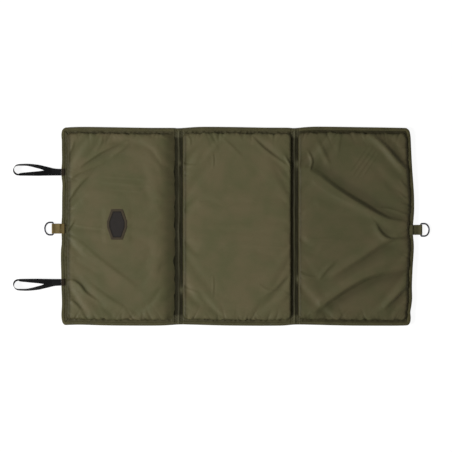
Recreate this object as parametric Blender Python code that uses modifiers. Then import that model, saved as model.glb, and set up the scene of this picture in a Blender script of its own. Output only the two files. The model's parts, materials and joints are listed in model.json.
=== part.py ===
"""A three-panel folding unhooking mat, modelled in metres with +Z up.

The mat lies open and flat. The origin is the middle of the centre panel, on the plane that the mat
lies on. +X runs to the end that has no elastic loops, and +Y to the back edge. Each outer panel folds
over the centre one on a strip of web fabric, which bends along a stitch line at each of its edges.
"""

import math
from dataclasses import dataclass

import bmesh
import bpy
from mathutils import Matrix, Vector

# Plan of the mat
FOLD_PITCH = 0.345
OUTER_LENGTH = 0.3525
MAT_WIDTH = 0.590
CORNER_RADIUS = 0.011
HEM_WIDTH = 0.019
WEB_WIDTH = 0.019

# Heights, walls and running clearances
SEAM_HEIGHT = 0.0095
SIDE_RISE = 0.0081
CROWN_RISE = 0.0016
FABRIC = 0.0006
TAPE = 0.0006
SEAT_GAP = 0.0003
FOLD_CLEARANCE = 0.0004
FOAM_CLEARANCE = 0.0008
BINDING_WIDTH = 0.010
WELD_DISTANCE = 0.000003

# How far in from its rim each side of a pad keeps rising
SIDE_RUN = 0.016
LEFT_FOLD_RUN = 0.042

# Elastic loops
ELASTIC_WIDTH = 0.020
ELASTIC_THICKNESS = 0.0013
LOOP_REACH = 0.1405
LOOP_SPREAD = 0.029
UPPER_LOOP_Y = 0.161
LOWER_LOOP_Y = -0.168
LOOP_SEAM_RISE = 0.001

# Webbing tabs and the rings that they hold
WEBBING_WIDTH = 0.030
WEBBING_THICKNESS = 0.0016
TAB_REACH = 0.0255
LEFT_TAB_Y = -0.0075
RIGHT_TAB_Y = -0.0112
RING_WIRE = 0.0048
RING_WIDTH = 0.042
RING_ARM = 0.010
RING_ARC_DEPTH = 0.0147
RING_CORNER = 0.0035

# Ends of the loops and tabs where they are stitched down on the binding
SEWN_THICKNESS = 0.0022
SEWN_EDGE = 0.0005

# Badge on the left panel
BADGE_X = -0.358
BADGE_Y = 0.005
BADGE_LENGTH = 0.091
BADGE_WIDTH = 0.0595
BADGE_END_WIDTH = 0.0335
BADGE_SIDE_LENGTH = 0.018
BADGE_THICKNESS = 0.0012
BADGE_BORDER = 0.0055
BADGE_RECESS = 0.0003

# Counts that set how finely the curved forms are drawn
SIDE_STEPS = 4
FOAM_SKIPPED_STEPS = 2
CROWN_SPANS_X = 5
CROWN_SPANS_Y = 7
BASE_SPANS = 1
ARC_STEPS = 6
LOOP_STEPS = 3
LOOP_END_STEPS = 8
RING_CORNER_STEPS = 3
RING_BOW_STEPS = 12

# Angles: how far a tab's webbing wraps each way round a ring's bar, and the least sharp edge
TAB_WRAP = math.radians(120)
SHARP_ANGLE = math.radians(40)

# An elastic loop at stations along it: share of the neck, in which the strands turn on edge, share of the
# rest of the reach, then for the straight and the bowed strand its share of the spread, its share of a right
# angle of twist, and the share of the stacked offset
LOOP_STATION_SHARES = (
    (0.0, 0.0, 0.0, 0.0, 1.0, 0.0, 0.0, 1.0),
    (0.332, 0.0, -0.02, 0.17, 1.0, 0.072, 0.17, 1.0),
    (0.723, 0.0, -0.083, 0.40, 0.4, 0.40, 0.57, 0.4),
    (1.0, 0.0, -0.134, 0.51, 0.0, 0.576, 0.64, 0.0),
    (1.0, 0.402, -0.176, 0.64, 0.0, 0.752, 0.79, 0.0),
    (1.0, 0.723, -0.217, 0.74, 0.0, 0.762, 0.84, 0.0),
)
LOOP_NECK_SHARE = 3.325
LOOP_END_SHARE = 0.8045
LOOP_END_MIDDLE_SHARE = 0.2505
LOOP_END_TWIST_SHARE = 0.86
HEM_CORNER_SHARE = 0.5
TAB_THROAT_SHARE = 2.2

# Sizes that follow from the ones above
MAT_LENGTH = FOLD_PITCH + 2 * OUTER_LENGTH
END_X = MAT_LENGTH / 2
BACK_Y = MAT_WIDTH / 2
INNER_HINGE_X = (FOLD_PITCH - WEB_WIDTH) / 2
OUTER_HINGE_X = (FOLD_PITCH + WEB_WIDTH) / 2
WEB_HALF = FABRIC + SEAT_GAP / 2
BINDING_SLOT_HALF = WEB_HALF + SEAT_GAP
BINDING_HALF = BINDING_SLOT_HALF + TAPE
BINDING_CUTBACK = BINDING_HALF + FOLD_CLEARANCE
NOSE_INSET = WEB_HALF + FOLD_CLEARANCE + FABRIC
HEM_EDGE_INSET = TAPE + SEAT_GAP
BASE_DROP = SEAM_HEIGHT - SEAT_GAP / 2 - FABRIC
LOOP_NECK_LENGTH = LOOP_NECK_SHARE * ELASTIC_WIDTH
LOOP_STACK_OFFSET = (ELASTIC_THICKNESS + SEAT_GAP) / 2
LOOP_BEAD = LOOP_STACK_OFFSET + ELASTIC_THICKNESS / 2
TAB_BEAD = WEBBING_THICKNESS + SEAT_GAP / 2
RING_EYE = RING_WIRE / 2 + SEAT_GAP
TAB_EYE = RING_EYE + WEBBING_THICKNESS
RING_BAR_HEIGHT = TAB_EYE
RIGHT_ANGLE = math.pi / 2

# Colour, roughness and metallic value of each material
FINISHES = {
    "top_fabric": ((0.102, 0.094, 0.048), 0.55, 0.0),
    "base_fabric": ((0.05, 0.047, 0.028), 0.7, 0.0),
    "foam": ((0.12, 0.12, 0.12), 0.9, 0.0),
    "binding_tape": ((0.058, 0.051, 0.022), 0.65, 0.0),
    "web_fabric": ((0.06, 0.062, 0.042), 0.65, 0.0),
    "elastic": ((0.008, 0.008, 0.009), 0.7, 0.0),
    "webbing": ((0.145, 0.108, 0.048), 0.75, 0.0),
    "ring_metal": ((0.03, 0.03, 0.034), 0.35, 0.9),
    "badge": ((0.032, 0.024, 0.02), 0.6, 0.0),
}


def clear_scene():
    for obj in list(bpy.data.objects):
        bpy.data.objects.remove(obj, do_unlink=True)


def make_collection(name):
    collection = bpy.data.collections.new(name)
    bpy.context.scene.collection.children.link(collection)
    return collection


def make_materials():
    materials = {}
    for name, (colour, roughness, metallic) in FINISHES.items():
        material = bpy.data.materials.new(name)
        material.use_nodes = True
        shader = material.node_tree.nodes["Principled BSDF"]
        shader.inputs["Base Color"].default_value = (*colour, 1)
        shader.inputs["Roughness"].default_value = roughness
        shader.inputs["Metallic"].default_value = metallic
        materials[name] = material
    return materials


clear_scene()
PARTS = make_collection("unhooking_mat")
GUIDES = make_collection("guides")
MATERIALS = make_materials()


def world_place(obj):
    """World position of an object whose parents are all unturned."""
    place = Vector()
    while obj is not None:
        place += obj.location
        obj = obj.parent
    return place


def attach(obj, parent, place):
    """Hangs an object on its parent so that it stands at a world position."""
    obj.parent = parent
    obj.location = Vector(place) - world_place(parent)


def add_empty(name, parent, place):
    empty = bpy.data.objects.new(name, None)
    PARTS.objects.link(empty)
    attach(empty, parent, place)
    return empty


def add_part(name, data, finish, parent, place=(0, 0, 0)):
    data.materials.append(MATERIALS[finish])
    obj = bpy.data.objects.new(name, data)
    PARTS.objects.link(obj)
    attach(obj, parent, place)
    return obj


def add_guide(name, data):
    guide = bpy.data.objects.new(name, data)
    guide.hide_render = True
    guide.display_type = "WIRE"
    GUIDES.objects.link(guide)
    return guide


def mesh_from(bm, name, smooth=True):
    mesh = bpy.data.meshes.new(name)
    bm.to_mesh(mesh)
    bm.free()
    if smooth:
        mesh.shade_smooth()
        mesh.set_sharp_from_angle(angle=SHARP_ANGLE)
    return mesh


def arc(centre, radius, start, end, steps):
    """Points on a circle, from one angle to another, both ends included."""
    turn = (end - start) / steps
    return [
        (
            centre[0] + radius * math.cos(start + turn * step),
            centre[1] + radius * math.sin(start + turn * step),
        )
        for step in range(steps + 1)
    ]


def side_lines(run):
    """Distances in from a pad's rim at which its rounded side has a line of vertices."""
    turn = RIGHT_ANGLE / SIDE_STEPS
    return [run * (1 - math.cos(turn * step)) for step in range(SIDE_STEPS + 1)]


def side_share(distance, run):
    """Share of the full rise that a pad's rounded side has at a distance in from the rim."""
    inside = min(max(distance / run, 0), 1)
    return math.sqrt(1 - (1 - inside) ** 2)


def hem_lines():
    """Distances in from the hem's edge to the lines that draw its rounded corners."""
    radius = CORNER_RADIUS - HEM_EDGE_INSET
    return [0, radius * HEM_CORNER_SHARE, radius]


def between(low, high, spans):
    return [low + (high - low) * step / spans for step in range(1, spans)]


def pad_lines(low, high, low_run, high_run, spans):
    lines = [low + distance for distance in side_lines(low_run)]
    lines += between(low + low_run, high - high_run, spans)
    return lines + [high - distance for distance in reversed(side_lines(high_run))]


@dataclass
class Panel:
    """Plan of one padded panel, as the X of its pad's rims and what lies beyond each."""

    low: float
    high: float
    low_run: float = SIDE_RUN
    high_run: float = SIDE_RUN
    low_hem: bool = False
    high_hem: bool = False

    def pad_x(self, spans):
        return pad_lines(self.low, self.high, self.low_run, self.high_run, spans)

    def pad_y(self, spans):
        rim = BACK_Y - HEM_WIDTH
        return pad_lines(-rim, rim, SIDE_RUN, SIDE_RUN, spans)

    def cover_x(self, spans):
        edge = END_X - HEM_EDGE_INSET
        before = [-edge + step for step in hem_lines()] if self.low_hem else []
        after = [edge - step for step in reversed(hem_lines())] if self.high_hem else []
        return before + self.pad_x(spans) + after

    def cover_y(self, spans):
        edge = BACK_Y - HEM_EDGE_INSET
        before = [-edge + step for step in hem_lines()]
        after = [edge - step for step in reversed(hem_lines())]
        return before + self.pad_y(spans) + after

    def rise_share(self, x, y):
        """Share of the full rise of the pad's sides at a point in plan."""
        rim = BACK_Y - HEM_WIDTH
        along = side_share(x - self.low, self.low_run) * side_share(self.high - x, self.high_run)
        return along * side_share(rim - abs(y), SIDE_RUN)

    def crown_share(self, x, y):
        """Share of the crown at a point in plan, none from the pad's rim outwards."""
        rim = BACK_Y - HEM_WIDTH
        half = (self.high - self.low) / 2
        across = min(abs(x - (self.low + self.high) / 2) / half, 1)
        along = min(abs(y) / rim, 1)
        return (1 - across**2) * (1 - along**2)

    def top_inside(self, x, y):
        rise = SIDE_RISE * self.rise_share(x, y) + CROWN_RISE * self.crown_share(x, y)
        return SEAM_HEIGHT + SEAT_GAP / 2 + rise

    def base_inside(self, x, y):
        return SEAM_HEIGHT - SEAT_GAP / 2 - BASE_DROP * self.rise_share(x, y)

    def rounded(self, x, y):
        """A point of the hem, drawn in where it would lie outside the mat's rounded corner."""
        radius = CORNER_RADIUS - HEM_EDGE_INSET
        centre_x = END_X - CORNER_RADIUS
        centre_y = BACK_Y - CORNER_RADIUS
        hemmed = self.low_hem if x < 0 else self.high_hem
        out = Vector((abs(x) - centre_x, abs(y) - centre_y))
        if not hemmed or min(out) <= 0 or out.length <= radius:
            return x, y
        out = out.normalized() * radius
        return math.copysign(centre_x + out.x, x), math.copysign(centre_y + out.y, y)


def shaped_grid(lines_x, lines_y, height):
    """A grid primitive whose lines are moved to the given places and heights."""
    bm = bmesh.new()
    spans_x = len(lines_x) - 1
    spans_y = len(lines_y) - 1
    bmesh.ops.create_grid(bm, x_segments=spans_x, y_segments=spans_y, size=1)
    for vertex in bm.verts:
        x = lines_x[round((vertex.co.x + 1) / 2 * spans_x)]
        y = lines_y[round((vertex.co.y + 1) / 2 * spans_y)]
        vertex.co = (x, y, height(x, y))
    return bm


def add_cover(name, panel, lines, height, finish, parent, facing):
    """A fabric cover: an open surface on the pad's inside, thickened outwards."""
    bm = shaped_grid(*lines, height)
    for vertex in bm.verts:
        vertex.co.x, vertex.co.y = panel.rounded(vertex.co.x, vertex.co.y)
    if facing < 0:
        bmesh.ops.reverse_faces(bm, faces=bm.faces[:])
    cover = add_part(name, mesh_from(bm, name), finish, parent)
    wall = cover.modifiers.new("fabric", "SOLIDIFY")
    wall.thickness = FABRIC
    wall.offset = 1
    wall.use_even_offset = True
    return cover


def add_foam(name, panel, parent):
    """The foam slab: the covers' inside surface less a clearance, cut square round its edge."""
    trim = slice(FOAM_SKIPPED_STEPS, -FOAM_SKIPPED_STEPS)
    lines_x = panel.pad_x(CROWN_SPANS_X)[trim]
    lines_y = panel.pad_y(CROWN_SPANS_Y)[trim]
    bm = shaped_grid(lines_x, lines_y, lambda x, y: panel.top_inside(x, y) - FOAM_CLEARANCE)
    underside = bmesh.ops.extrude_face_region(bm, geom=bm.faces[:])["geom"]
    for vertex in (item for item in underside if isinstance(item, bmesh.types.BMVert)):
        vertex.co.z = panel.base_inside(vertex.co.x, vertex.co.y) + FOAM_CLEARANCE
    bmesh.ops.recalc_face_normals(bm, faces=bm.faces[:])
    return add_part(name, mesh_from(bm, name), "foam", parent)


def add_panel(side, panel, parent):
    """The three layers of one panel."""
    top_lines = panel.cover_x(CROWN_SPANS_X), panel.cover_y(CROWN_SPANS_Y)
    base_lines = panel.cover_x(BASE_SPANS), panel.cover_y(BASE_SPANS)
    add_cover(f"{side}_top_cover", panel, top_lines, panel.top_inside, "top_fabric", parent, 1)
    add_cover(f"{side}_base_cover", panel, base_lines, panel.base_inside, "base_fabric", parent, -1)
    add_foam(f"{side}_foam_core", panel, parent)


def binding_profile():
    """Section of the binding tape: a channel that opens towards the mat, its back on the path."""
    curve = bpy.data.curves.new("binding_section", "CURVE")
    curve.dimensions = "2D"
    corners = (
        (0, -BINDING_HALF),
        (0, BINDING_HALF),
        (-BINDING_WIDTH, BINDING_HALF),
        (-BINDING_WIDTH, BINDING_SLOT_HALF),
        (-TAPE, BINDING_SLOT_HALF),
        (-TAPE, -BINDING_SLOT_HALF),
        (-BINDING_WIDTH, -BINDING_SLOT_HALF),
        (-BINDING_WIDTH, -BINDING_HALF),
    )
    add_spline(curve, [(*corner, 0) for corner in corners], cyclic=True)
    return add_guide("binding_section", curve)


def add_spline(curve, points, cyclic=False, tilts=None):
    spline = curve.splines.new("POLY")
    spline.points.add(len(points) - 1)
    for index, (point, place) in enumerate(zip(spline.points, points)):
        point.co = (*place, 1)
        point.tilt = tilts[index] if tilts else 0
    spline.use_cyclic_u = cyclic


def add_binding(name, path, profile, parent):
    """Tape folded over the mat's edge along a path of X and Y, with the mat on its left."""
    curve = bpy.data.curves.new(name, "CURVE")
    curve.dimensions = "3D"
    curve.twist_mode = "Z_UP"
    curve.bevel_mode = "OBJECT"
    curve.bevel_object = profile
    curve.use_fill_caps = True
    add_spline(curve, [(x, y, SEAM_HEIGHT) for x, y in path])
    return as_mesh(add_part(name, curve, "binding_tape", parent))


def end_binding_path(side):
    """Path round the three free sides of an outer panel, with the mat on its left."""
    fold_x = OUTER_HINGE_X + BINDING_CUTBACK
    centre = END_X - CORNER_RADIUS, BACK_Y - CORNER_RADIUS
    back = arc(centre, CORNER_RADIUS, 0, RIGHT_ANGLE, ARC_STEPS)
    front = [(x, -y) for x, y in reversed(back)]
    path = [(fold_x, -BACK_Y)] + front + back + [(fold_x, BACK_Y)]
    return [(-x, -y) for x, y in path] if side < 0 else path


def straight_binding_path(low, high, edge):
    """Path along the front or the back edge, with the mat on its left."""
    return [(low, edge), (high, edge)] if edge < 0 else [(high, edge), (low, edge)]


def outline_curve(name, outlines, width):
    """A flat outline in X and Z, extruded along Y to the given width."""
    curve = bpy.data.curves.new(name, "CURVE")
    curve.dimensions = "2D"
    curve.fill_mode = "BOTH"
    curve.extrude = width / 2
    for outline in outlines:
        add_spline(curve, [(x, z, 0) for x, z in outline], cyclic=True)
    return curve


def turn_upright(obj, pitch=0.0):
    """Stands a flat outline up in the XZ plane, then pitches it about Y."""
    stand = Matrix.Rotation(RIGHT_ANGLE, 4, "X")
    obj.rotation_euler = (Matrix.Rotation(pitch, 4, "Y") @ stand).to_euler()


def add_fold(side, name, profile, parent):
    """The web strip of one fold and the tape over its two ends, on the fold's inner hinge."""
    hinge = add_empty(f"{name}_web_hinge", parent, (side * INNER_HINGE_X, 0, SEAM_HEIGHT))
    half = WEB_WIDTH / 2
    strip = arc((half, 0), WEB_HALF, -RIGHT_ANGLE, RIGHT_ANGLE, ARC_STEPS)
    strip += arc((-half, 0), WEB_HALF, RIGHT_ANGLE, 3 * RIGHT_ANGLE, ARC_STEPS)
    curve = outline_curve(f"{name}_fold_web", [strip], MAT_WIDTH - 2 * HEM_EDGE_INSET)
    middle = side * FOLD_PITCH / 2
    web = add_part(f"{name}_fold_web", curve, "web_fabric", hinge, (middle, 0, SEAM_HEIGHT))
    turn_upright(web)
    low = middle - half + BINDING_CUTBACK
    high = middle + half - BINDING_CUTBACK
    for place, edge in (("front", -BACK_Y), ("back", BACK_Y)):
        path = straight_binding_path(low, high, edge)
        add_binding(f"{name}_fold_{place}_binding", path, profile, hinge)
    return hinge


def add_sewn_end(name, side, y, width, finish, parent):
    """The end of a loop or tab, stitched down on top of the binding."""
    bm = bmesh.new()
    size = Matrix.Diagonal((BINDING_WIDTH, width, SEWN_THICKNESS, 1))
    bmesh.ops.create_cube(bm, size=1, matrix=size)
    bmesh.ops.bevel(bm, geom=bm.edges[:], offset=SEWN_EDGE, segments=1, affect="EDGES")
    x = side * (END_X - BINDING_WIDTH / 2)
    z = SEAM_HEIGHT + BINDING_HALF + SEAT_GAP + SEWN_THICKNESS / 2
    return add_part(name, mesh_from(bm, name, smooth=False), finish, parent, (x, y, z))


def loop_stations(mirror):
    """Stations of an elastic loop from its root round its end and back, as X, Y, Z and twist."""
    straight = []
    bowed = []
    eye_run = LOOP_REACH - LOOP_NECK_LENGTH
    for turning, past, low_y, low_twist, low_stack, high_y, high_twist, high_stack in LOOP_STATION_SHARES:
        x = -turning * LOOP_NECK_LENGTH - past * eye_run
        for strand, y, twist, stack in (
            (straight, low_y, low_twist - 1, low_stack),
            (bowed, high_y, 1 - high_twist, -high_stack),
        ):
            z = stack * LOOP_STACK_OFFSET
            strand.append((x, mirror * y * LOOP_SPREAD, z, mirror * twist * RIGHT_ANGLE))
    centre_x = -LOOP_NECK_LENGTH - LOOP_END_SHARE * eye_run
    centre_y = LOOP_END_MIDDLE_SHARE * LOOP_SPREAD
    depth = LOOP_REACH + centre_x
    end = []
    for step in range(LOOP_END_STEPS + 1):
        angle = math.pi * step / LOOP_END_STEPS
        x = centre_x - depth * math.sin(angle)
        y = centre_y - LOOP_SPREAD / 2 * math.cos(angle)
        twist = (LOOP_END_TWIST_SHARE - 1) * math.cos(angle)
        end.append((x, mirror * y, 0, mirror * twist * RIGHT_ANGLE))
    return straight, end, bowed[::-1]


def through(stations, steps):
    """Points on a smooth curve through the stations, which also blends their last value."""
    points = []
    count = len(stations)
    for index in range(count - 1):
        p0 = Vector(stations[max(index - 1, 0)])
        p1 = Vector(stations[index])
        p2 = Vector(stations[index + 1])
        p3 = Vector(stations[min(index + 2, count - 1)])
        for step in range(steps):
            t = step / steps
            linear = (p2 - p0) * t
            square = (2 * p0 - 5 * p1 + 4 * p2 - p3) * t**2
            cubic = (3 * p1 - p0 - 3 * p2 + p3) * t**3
            points.append((2 * p1 + linear + square + cubic) / 2)
    return points + [Vector(stations[-1])]


def as_mesh(obj):
    """Makes a curve object a mesh object with its caps welded, under the same name and place."""
    graph = bpy.context.evaluated_depsgraph_get()
    mesh = bpy.data.meshes.new_from_object(obj.evaluated_get(graph))
    bm = bmesh.new()
    bm.from_mesh(mesh)
    bmesh.ops.remove_doubles(bm, verts=bm.verts[:], dist=WELD_DISTANCE)
    bmesh.ops.recalc_face_normals(bm, faces=bm.faces[:])
    bm.to_mesh(mesh)
    bm.free()
    solid = bpy.data.objects.new("solid", mesh)
    for collection in obj.users_collection:
        collection.objects.link(solid)
    solid.parent = obj.parent
    solid.location = obj.location
    solid.rotation_euler = obj.rotation_euler
    name = obj.name
    bpy.data.objects.remove(obj, do_unlink=True)
    solid.name = name
    return solid


def add_loop(name, y, mirror, parent):
    """An elastic loop: a flat ribbon out and back, joined at its root by a rounded bead."""
    root = (-END_X - LOOP_BEAD - SEAT_GAP, y, SEAM_HEIGHT + LOOP_SEAM_RISE)
    hinge = add_empty(f"{name}_hinge", parent, root)
    straight, end, bowed = loop_stations(mirror)
    points = through(straight + end[:1], LOOP_STEPS)[:-1] + [Vector(point) for point in end]
    points += through(end[-1:] + bowed, LOOP_STEPS)[1:]
    curve = bpy.data.curves.new(name, "CURVE")
    curve.dimensions = "3D"
    curve.twist_mode = "Z_UP"
    curve.extrude = (ELASTIC_WIDTH - ELASTIC_THICKNESS) / 2
    curve.bevel_depth = ELASTIC_THICKNESS / 2
    curve.bevel_resolution = 0
    curve.use_fill_caps = True
    add_spline(curve, [point.xyz for point in points], tilts=[point.w for point in points])
    loop = as_mesh(add_part(name, curve, "elastic", hinge, root))
    bm = bmesh.new()
    across = Matrix.Rotation(RIGHT_ANGLE, 4, "X")
    bmesh.ops.create_cone(
        bm,
        cap_ends=True,
        segments=2 * ARC_STEPS,
        radius1=LOOP_BEAD,
        radius2=LOOP_BEAD,
        depth=ELASTIC_WIDTH + SEAT_GAP,
        matrix=across,
    )
    bead = add_guide(f"{name}_bead", mesh_from(bm, f"{name}_bead"))
    attach(bead, hinge, root)
    joined = loop.modifiers.new("root", "BOOLEAN")
    joined.operation = "UNION"
    joined.object = bead
    loop.data.shade_smooth()
    loop.data.set_sharp_from_angle(angle=SHARP_ANGLE)


def tab_outlines(reach):
    """Section of a webbing tab doubled round a ring's bar, and of the eye that the bar turns in."""
    throat = reach - TAB_THROAT_SHARE * TAB_EYE
    outer = arc((reach, 0), TAB_EYE, -TAB_WRAP, TAB_WRAP, 2 * ARC_STEPS)
    outer += [(throat, TAB_BEAD)]
    outer += arc((0, 0), TAB_BEAD, RIGHT_ANGLE, 3 * RIGHT_ANGLE, ARC_STEPS)
    outer += [(throat, -TAB_BEAD)]
    eye = arc((reach, 0), RING_EYE, -TAB_WRAP, TAB_WRAP, 2 * ARC_STEPS)
    eye += [(throat + TAB_EYE / 2, 0)]
    return [outer, eye]


def ring_points():
    """Centre line of a D-ring: its bar on the Y axis and its arc out along +X."""
    half = (RING_WIDTH - RING_WIRE) / 2
    centre = RING_CORNER, half - RING_CORNER
    corner = arc(centre, RING_CORNER, math.pi, RIGHT_ANGLE, RING_CORNER_STEPS)
    lower = [(x, -y) for x, y in corner]
    unit_bow = arc((0, 0), 1, -RIGHT_ANGLE, RIGHT_ANGLE, RING_BOW_STEPS)
    bow = [(RING_ARM + RING_ARC_DEPTH * x, half * y) for x, y in unit_bow]
    return lower + bow + corner[::-1]


def add_ring(name, side, parent, place, pitch):
    curve = bpy.data.curves.new(name, "CURVE")
    curve.dimensions = "3D"
    curve.bevel_depth = RING_WIRE / 2
    curve.bevel_resolution = 1
    add_spline(curve, [(side * x, y, 0) for x, y in ring_points()], cyclic=True)
    ring = add_part(name, curve, "ring_metal", parent, place)
    ring.rotation_euler = (0, pitch, 0)


def add_tab(name, side, y, parent):
    """A webbing tab and its D-ring, both drooping so that the ring's arc rests on the ground."""
    root = Vector((side * (END_X + TAB_BEAD + SEAT_GAP), y, SEAM_HEIGHT))
    hinge = add_empty(f"{name}_tab_hinge", parent, root)
    reach = TAB_REACH - TAB_BEAD - SEAT_GAP
    droop = math.asin((SEAM_HEIGHT - RING_BAR_HEIGHT) / reach)
    outlines = [[(side * x, z) for x, z in outline] for outline in tab_outlines(reach)]
    curve = outline_curve(f"{name}_tab", outlines, WEBBING_WIDTH)
    tab = add_part(f"{name}_tab", curve, "webbing", hinge, root)
    turn_upright(tab, side * droop)
    bar = root + Vector((side * reach * math.cos(droop), 0, -reach * math.sin(droop)))
    bar_hinge = add_empty(f"{name}_ring_hinge", hinge, bar)
    ring_reach = RING_ARM + RING_ARC_DEPTH
    ring_droop = math.asin((RING_BAR_HEIGHT - RING_WIRE / 2) / ring_reach)
    add_ring(f"{name}_d_ring", side, bar_hinge, bar, side * ring_droop)


def add_badge(panel, parent):
    """A bare leather badge, widest at its middle, with a raised border, on the left panel's crown."""
    half_length = BADGE_LENGTH / 2
    half_width = BADGE_WIDTH / 2
    half_end = BADGE_END_WIDTH / 2
    half_side = BADGE_SIDE_LENGTH / 2
    bm = bmesh.new()
    corners = (
        (half_end, -half_length),
        (half_width, -half_side),
        (half_width, half_side),
        (half_end, half_length),
        (-half_end, half_length),
        (-half_width, half_side),
        (-half_width, -half_side),
        (-half_end, -half_length),
    )
    face = bm.faces.new([bm.verts.new((x, y, 0)) for x, y in corners])
    raised = bmesh.ops.extrude_face_region(bm, geom=[face])["geom"]
    top = next(item for item in raised if isinstance(item, bmesh.types.BMFace))
    bmesh.ops.translate(bm, verts=top.verts[:], vec=(0, 0, BADGE_THICKNESS))
    bmesh.ops.recalc_face_normals(bm, faces=bm.faces[:])
    bmesh.ops.inset_region(bm, faces=[top], thickness=BADGE_BORDER)
    bmesh.ops.inset_region(bm, faces=[top], thickness=BADGE_RECESS, depth=-BADGE_RECESS)
    highest = max(panel.top_inside(BADGE_X + x, BADGE_Y + y) for x, y in (*corners, (half_width, 0)))
    z = highest + FABRIC + SEAT_GAP
    add_part("badge", mesh_from(bm, "badge", smooth=False), "badge", parent, (BADGE_X, BADGE_Y, z))


def build():
    profile = binding_profile()
    hem_rim = END_X - HEM_WIDTH
    middle_panel = Panel(-INNER_HINGE_X + NOSE_INSET, INNER_HINGE_X - NOSE_INSET)
    left_panel = Panel(
        -hem_rim, -OUTER_HINGE_X - NOSE_INSET, high_run=LEFT_FOLD_RUN, low_hem=True
    )
    right_panel = Panel(OUTER_HINGE_X + NOSE_INSET, hem_rim, high_hem=True)

    middle = add_empty("middle", None, (0, 0, 0))
    add_panel("middle", middle_panel, middle)
    edge_x = INNER_HINGE_X - BINDING_CUTBACK
    for place, edge in (("front", -BACK_Y), ("back", BACK_Y)):
        path = straight_binding_path(-edge_x, edge_x, edge)
        add_binding(f"middle_{place}_binding", path, profile, middle)

    for side, name, panel in ((-1, "left", left_panel), (1, "right", right_panel)):
        web = add_fold(side, name, profile, middle)
        outer = add_empty(f"{name}_panel_hinge", web, (side * OUTER_HINGE_X, 0, SEAM_HEIGHT))
        add_panel(name, panel, outer)
        add_binding(f"{name}_edge_binding", end_binding_path(side), profile, outer)
        tab_y = LEFT_TAB_Y if side < 0 else RIGHT_TAB_Y
        add_sewn_end(f"{name}_tab_sewn_end", side, tab_y, WEBBING_WIDTH, "webbing", outer)
        add_tab(name, side, tab_y, outer)
        if side < 0:
            add_badge(panel, outer)
            for loop, y, mirror in (("upper", UPPER_LOOP_Y, 1), ("lower", LOWER_LOOP_Y, -1)):
                add_sewn_end(f"{loop}_loop_sewn_end", side, y, ELASTIC_WIDTH, "elastic", outer)
                add_loop(f"{loop}_loop", y, mirror, outer)


build()
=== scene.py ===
"""Looks of a three-panel folding unhooking mat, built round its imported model.

Lengths are in metres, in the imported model's frame: +X runs to the end without elastic loops, +Y to
the back edge and +Z up. The padded covers, the hems, the tape round the edge, the fold strips, the
elastic loops, the webbing tabs with their rings and the badge each have a class that builds them.
"""

from __future__ import annotations

import json
import logging
import math
from collections.abc import Iterable, Iterator, Sequence
from contextlib import contextmanager
from dataclasses import dataclass, field
from enum import Enum

import bmesh
import bpy
import numpy as np
from mathutils import Matrix, Vector


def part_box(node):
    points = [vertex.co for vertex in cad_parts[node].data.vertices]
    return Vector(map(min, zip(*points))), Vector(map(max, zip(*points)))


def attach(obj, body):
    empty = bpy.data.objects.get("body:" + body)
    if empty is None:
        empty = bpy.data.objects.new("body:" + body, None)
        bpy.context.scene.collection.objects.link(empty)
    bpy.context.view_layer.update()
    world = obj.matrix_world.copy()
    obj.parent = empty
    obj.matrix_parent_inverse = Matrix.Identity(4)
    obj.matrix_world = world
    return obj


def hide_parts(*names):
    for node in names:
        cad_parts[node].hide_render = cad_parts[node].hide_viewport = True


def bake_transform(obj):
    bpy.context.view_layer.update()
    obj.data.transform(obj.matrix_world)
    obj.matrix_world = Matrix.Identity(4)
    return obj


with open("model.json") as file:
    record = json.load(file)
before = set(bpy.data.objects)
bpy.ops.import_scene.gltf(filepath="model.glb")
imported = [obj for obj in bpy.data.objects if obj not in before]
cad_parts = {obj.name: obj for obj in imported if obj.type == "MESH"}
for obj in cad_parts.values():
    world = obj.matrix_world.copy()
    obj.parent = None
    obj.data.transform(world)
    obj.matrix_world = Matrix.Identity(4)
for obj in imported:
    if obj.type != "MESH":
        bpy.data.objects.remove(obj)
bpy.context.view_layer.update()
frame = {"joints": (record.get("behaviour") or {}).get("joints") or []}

LOG = logging.getLogger("unhooking_mat")
MM = 0.001
TINY = 1e-12
RIGHT_ANGLE = math.pi / 2
# The mesh attribute that carries painted shade on the cloths, and painted light where it is below 0.
PAINTED_SHADE = "painted_shade"
UP = np.array([0.0, 0.0, 1.0])
LONG_EDGES = (("front", -1), ("back", 1))
HEM_SEED = 50


def joint_place(name: str) -> Vector:
    """Gives a joint's point at rest."""
    return next(Vector(joint["pos_m"]) for joint in frame["joints"] if joint["name"] == name)


@dataclass(frozen=True)
class Layout:
    """Sizes of the mat that its pieces share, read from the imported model."""

    end_x: float = -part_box("left_edge_binding")[0].x
    back_y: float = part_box("left_edge_binding")[1].y
    seam_z: float = joint_place("left_fold").z
    tape_half: float = (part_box("left_edge_binding")[1].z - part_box("left_edge_binding")[0].z) / 2
    inner_fold: float = joint_place("right_web_fold").x
    outer_fold: float = joint_place("right_fold").x
    hem: float = 15.5 * MM
    right_hem: float = 11 * MM
    corner: float = 11 * MM
    fold_rim: float = 1.2 * MM
    bend_half: float = 2.05 * MM

    @property
    def hem_y(self) -> float:
        """Y of the seam between the back hem and the pads."""
        return self.back_y - self.hem

    @property
    def left_x(self) -> float:
        """X of the seam between the left end's hem and its pad."""
        return self.hem - self.end_x

    @property
    def right_x(self) -> float:
        """X of the seam between the right end's hem and its pad."""
        return self.end_x - self.right_hem


LAYOUT = Layout()


@dataclass(frozen=True)
class PhotoGrid:
    """The reference picture's pixels laid on the mat, which it shows from straight above."""

    metres_per_pixel: float = 2.983 * MM
    middle_u: float = 237.0
    middle_v: float = 226.1
    pixels: int = 452

    def place(self, u: float, v: float) -> tuple[float, float]:
        """Turns a pixel into X and Y on the mat."""
        scale = self.metres_per_pixel
        return (u - self.middle_u) * scale, (self.middle_v - v) * scale


GRID = PhotoGrid()


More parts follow.
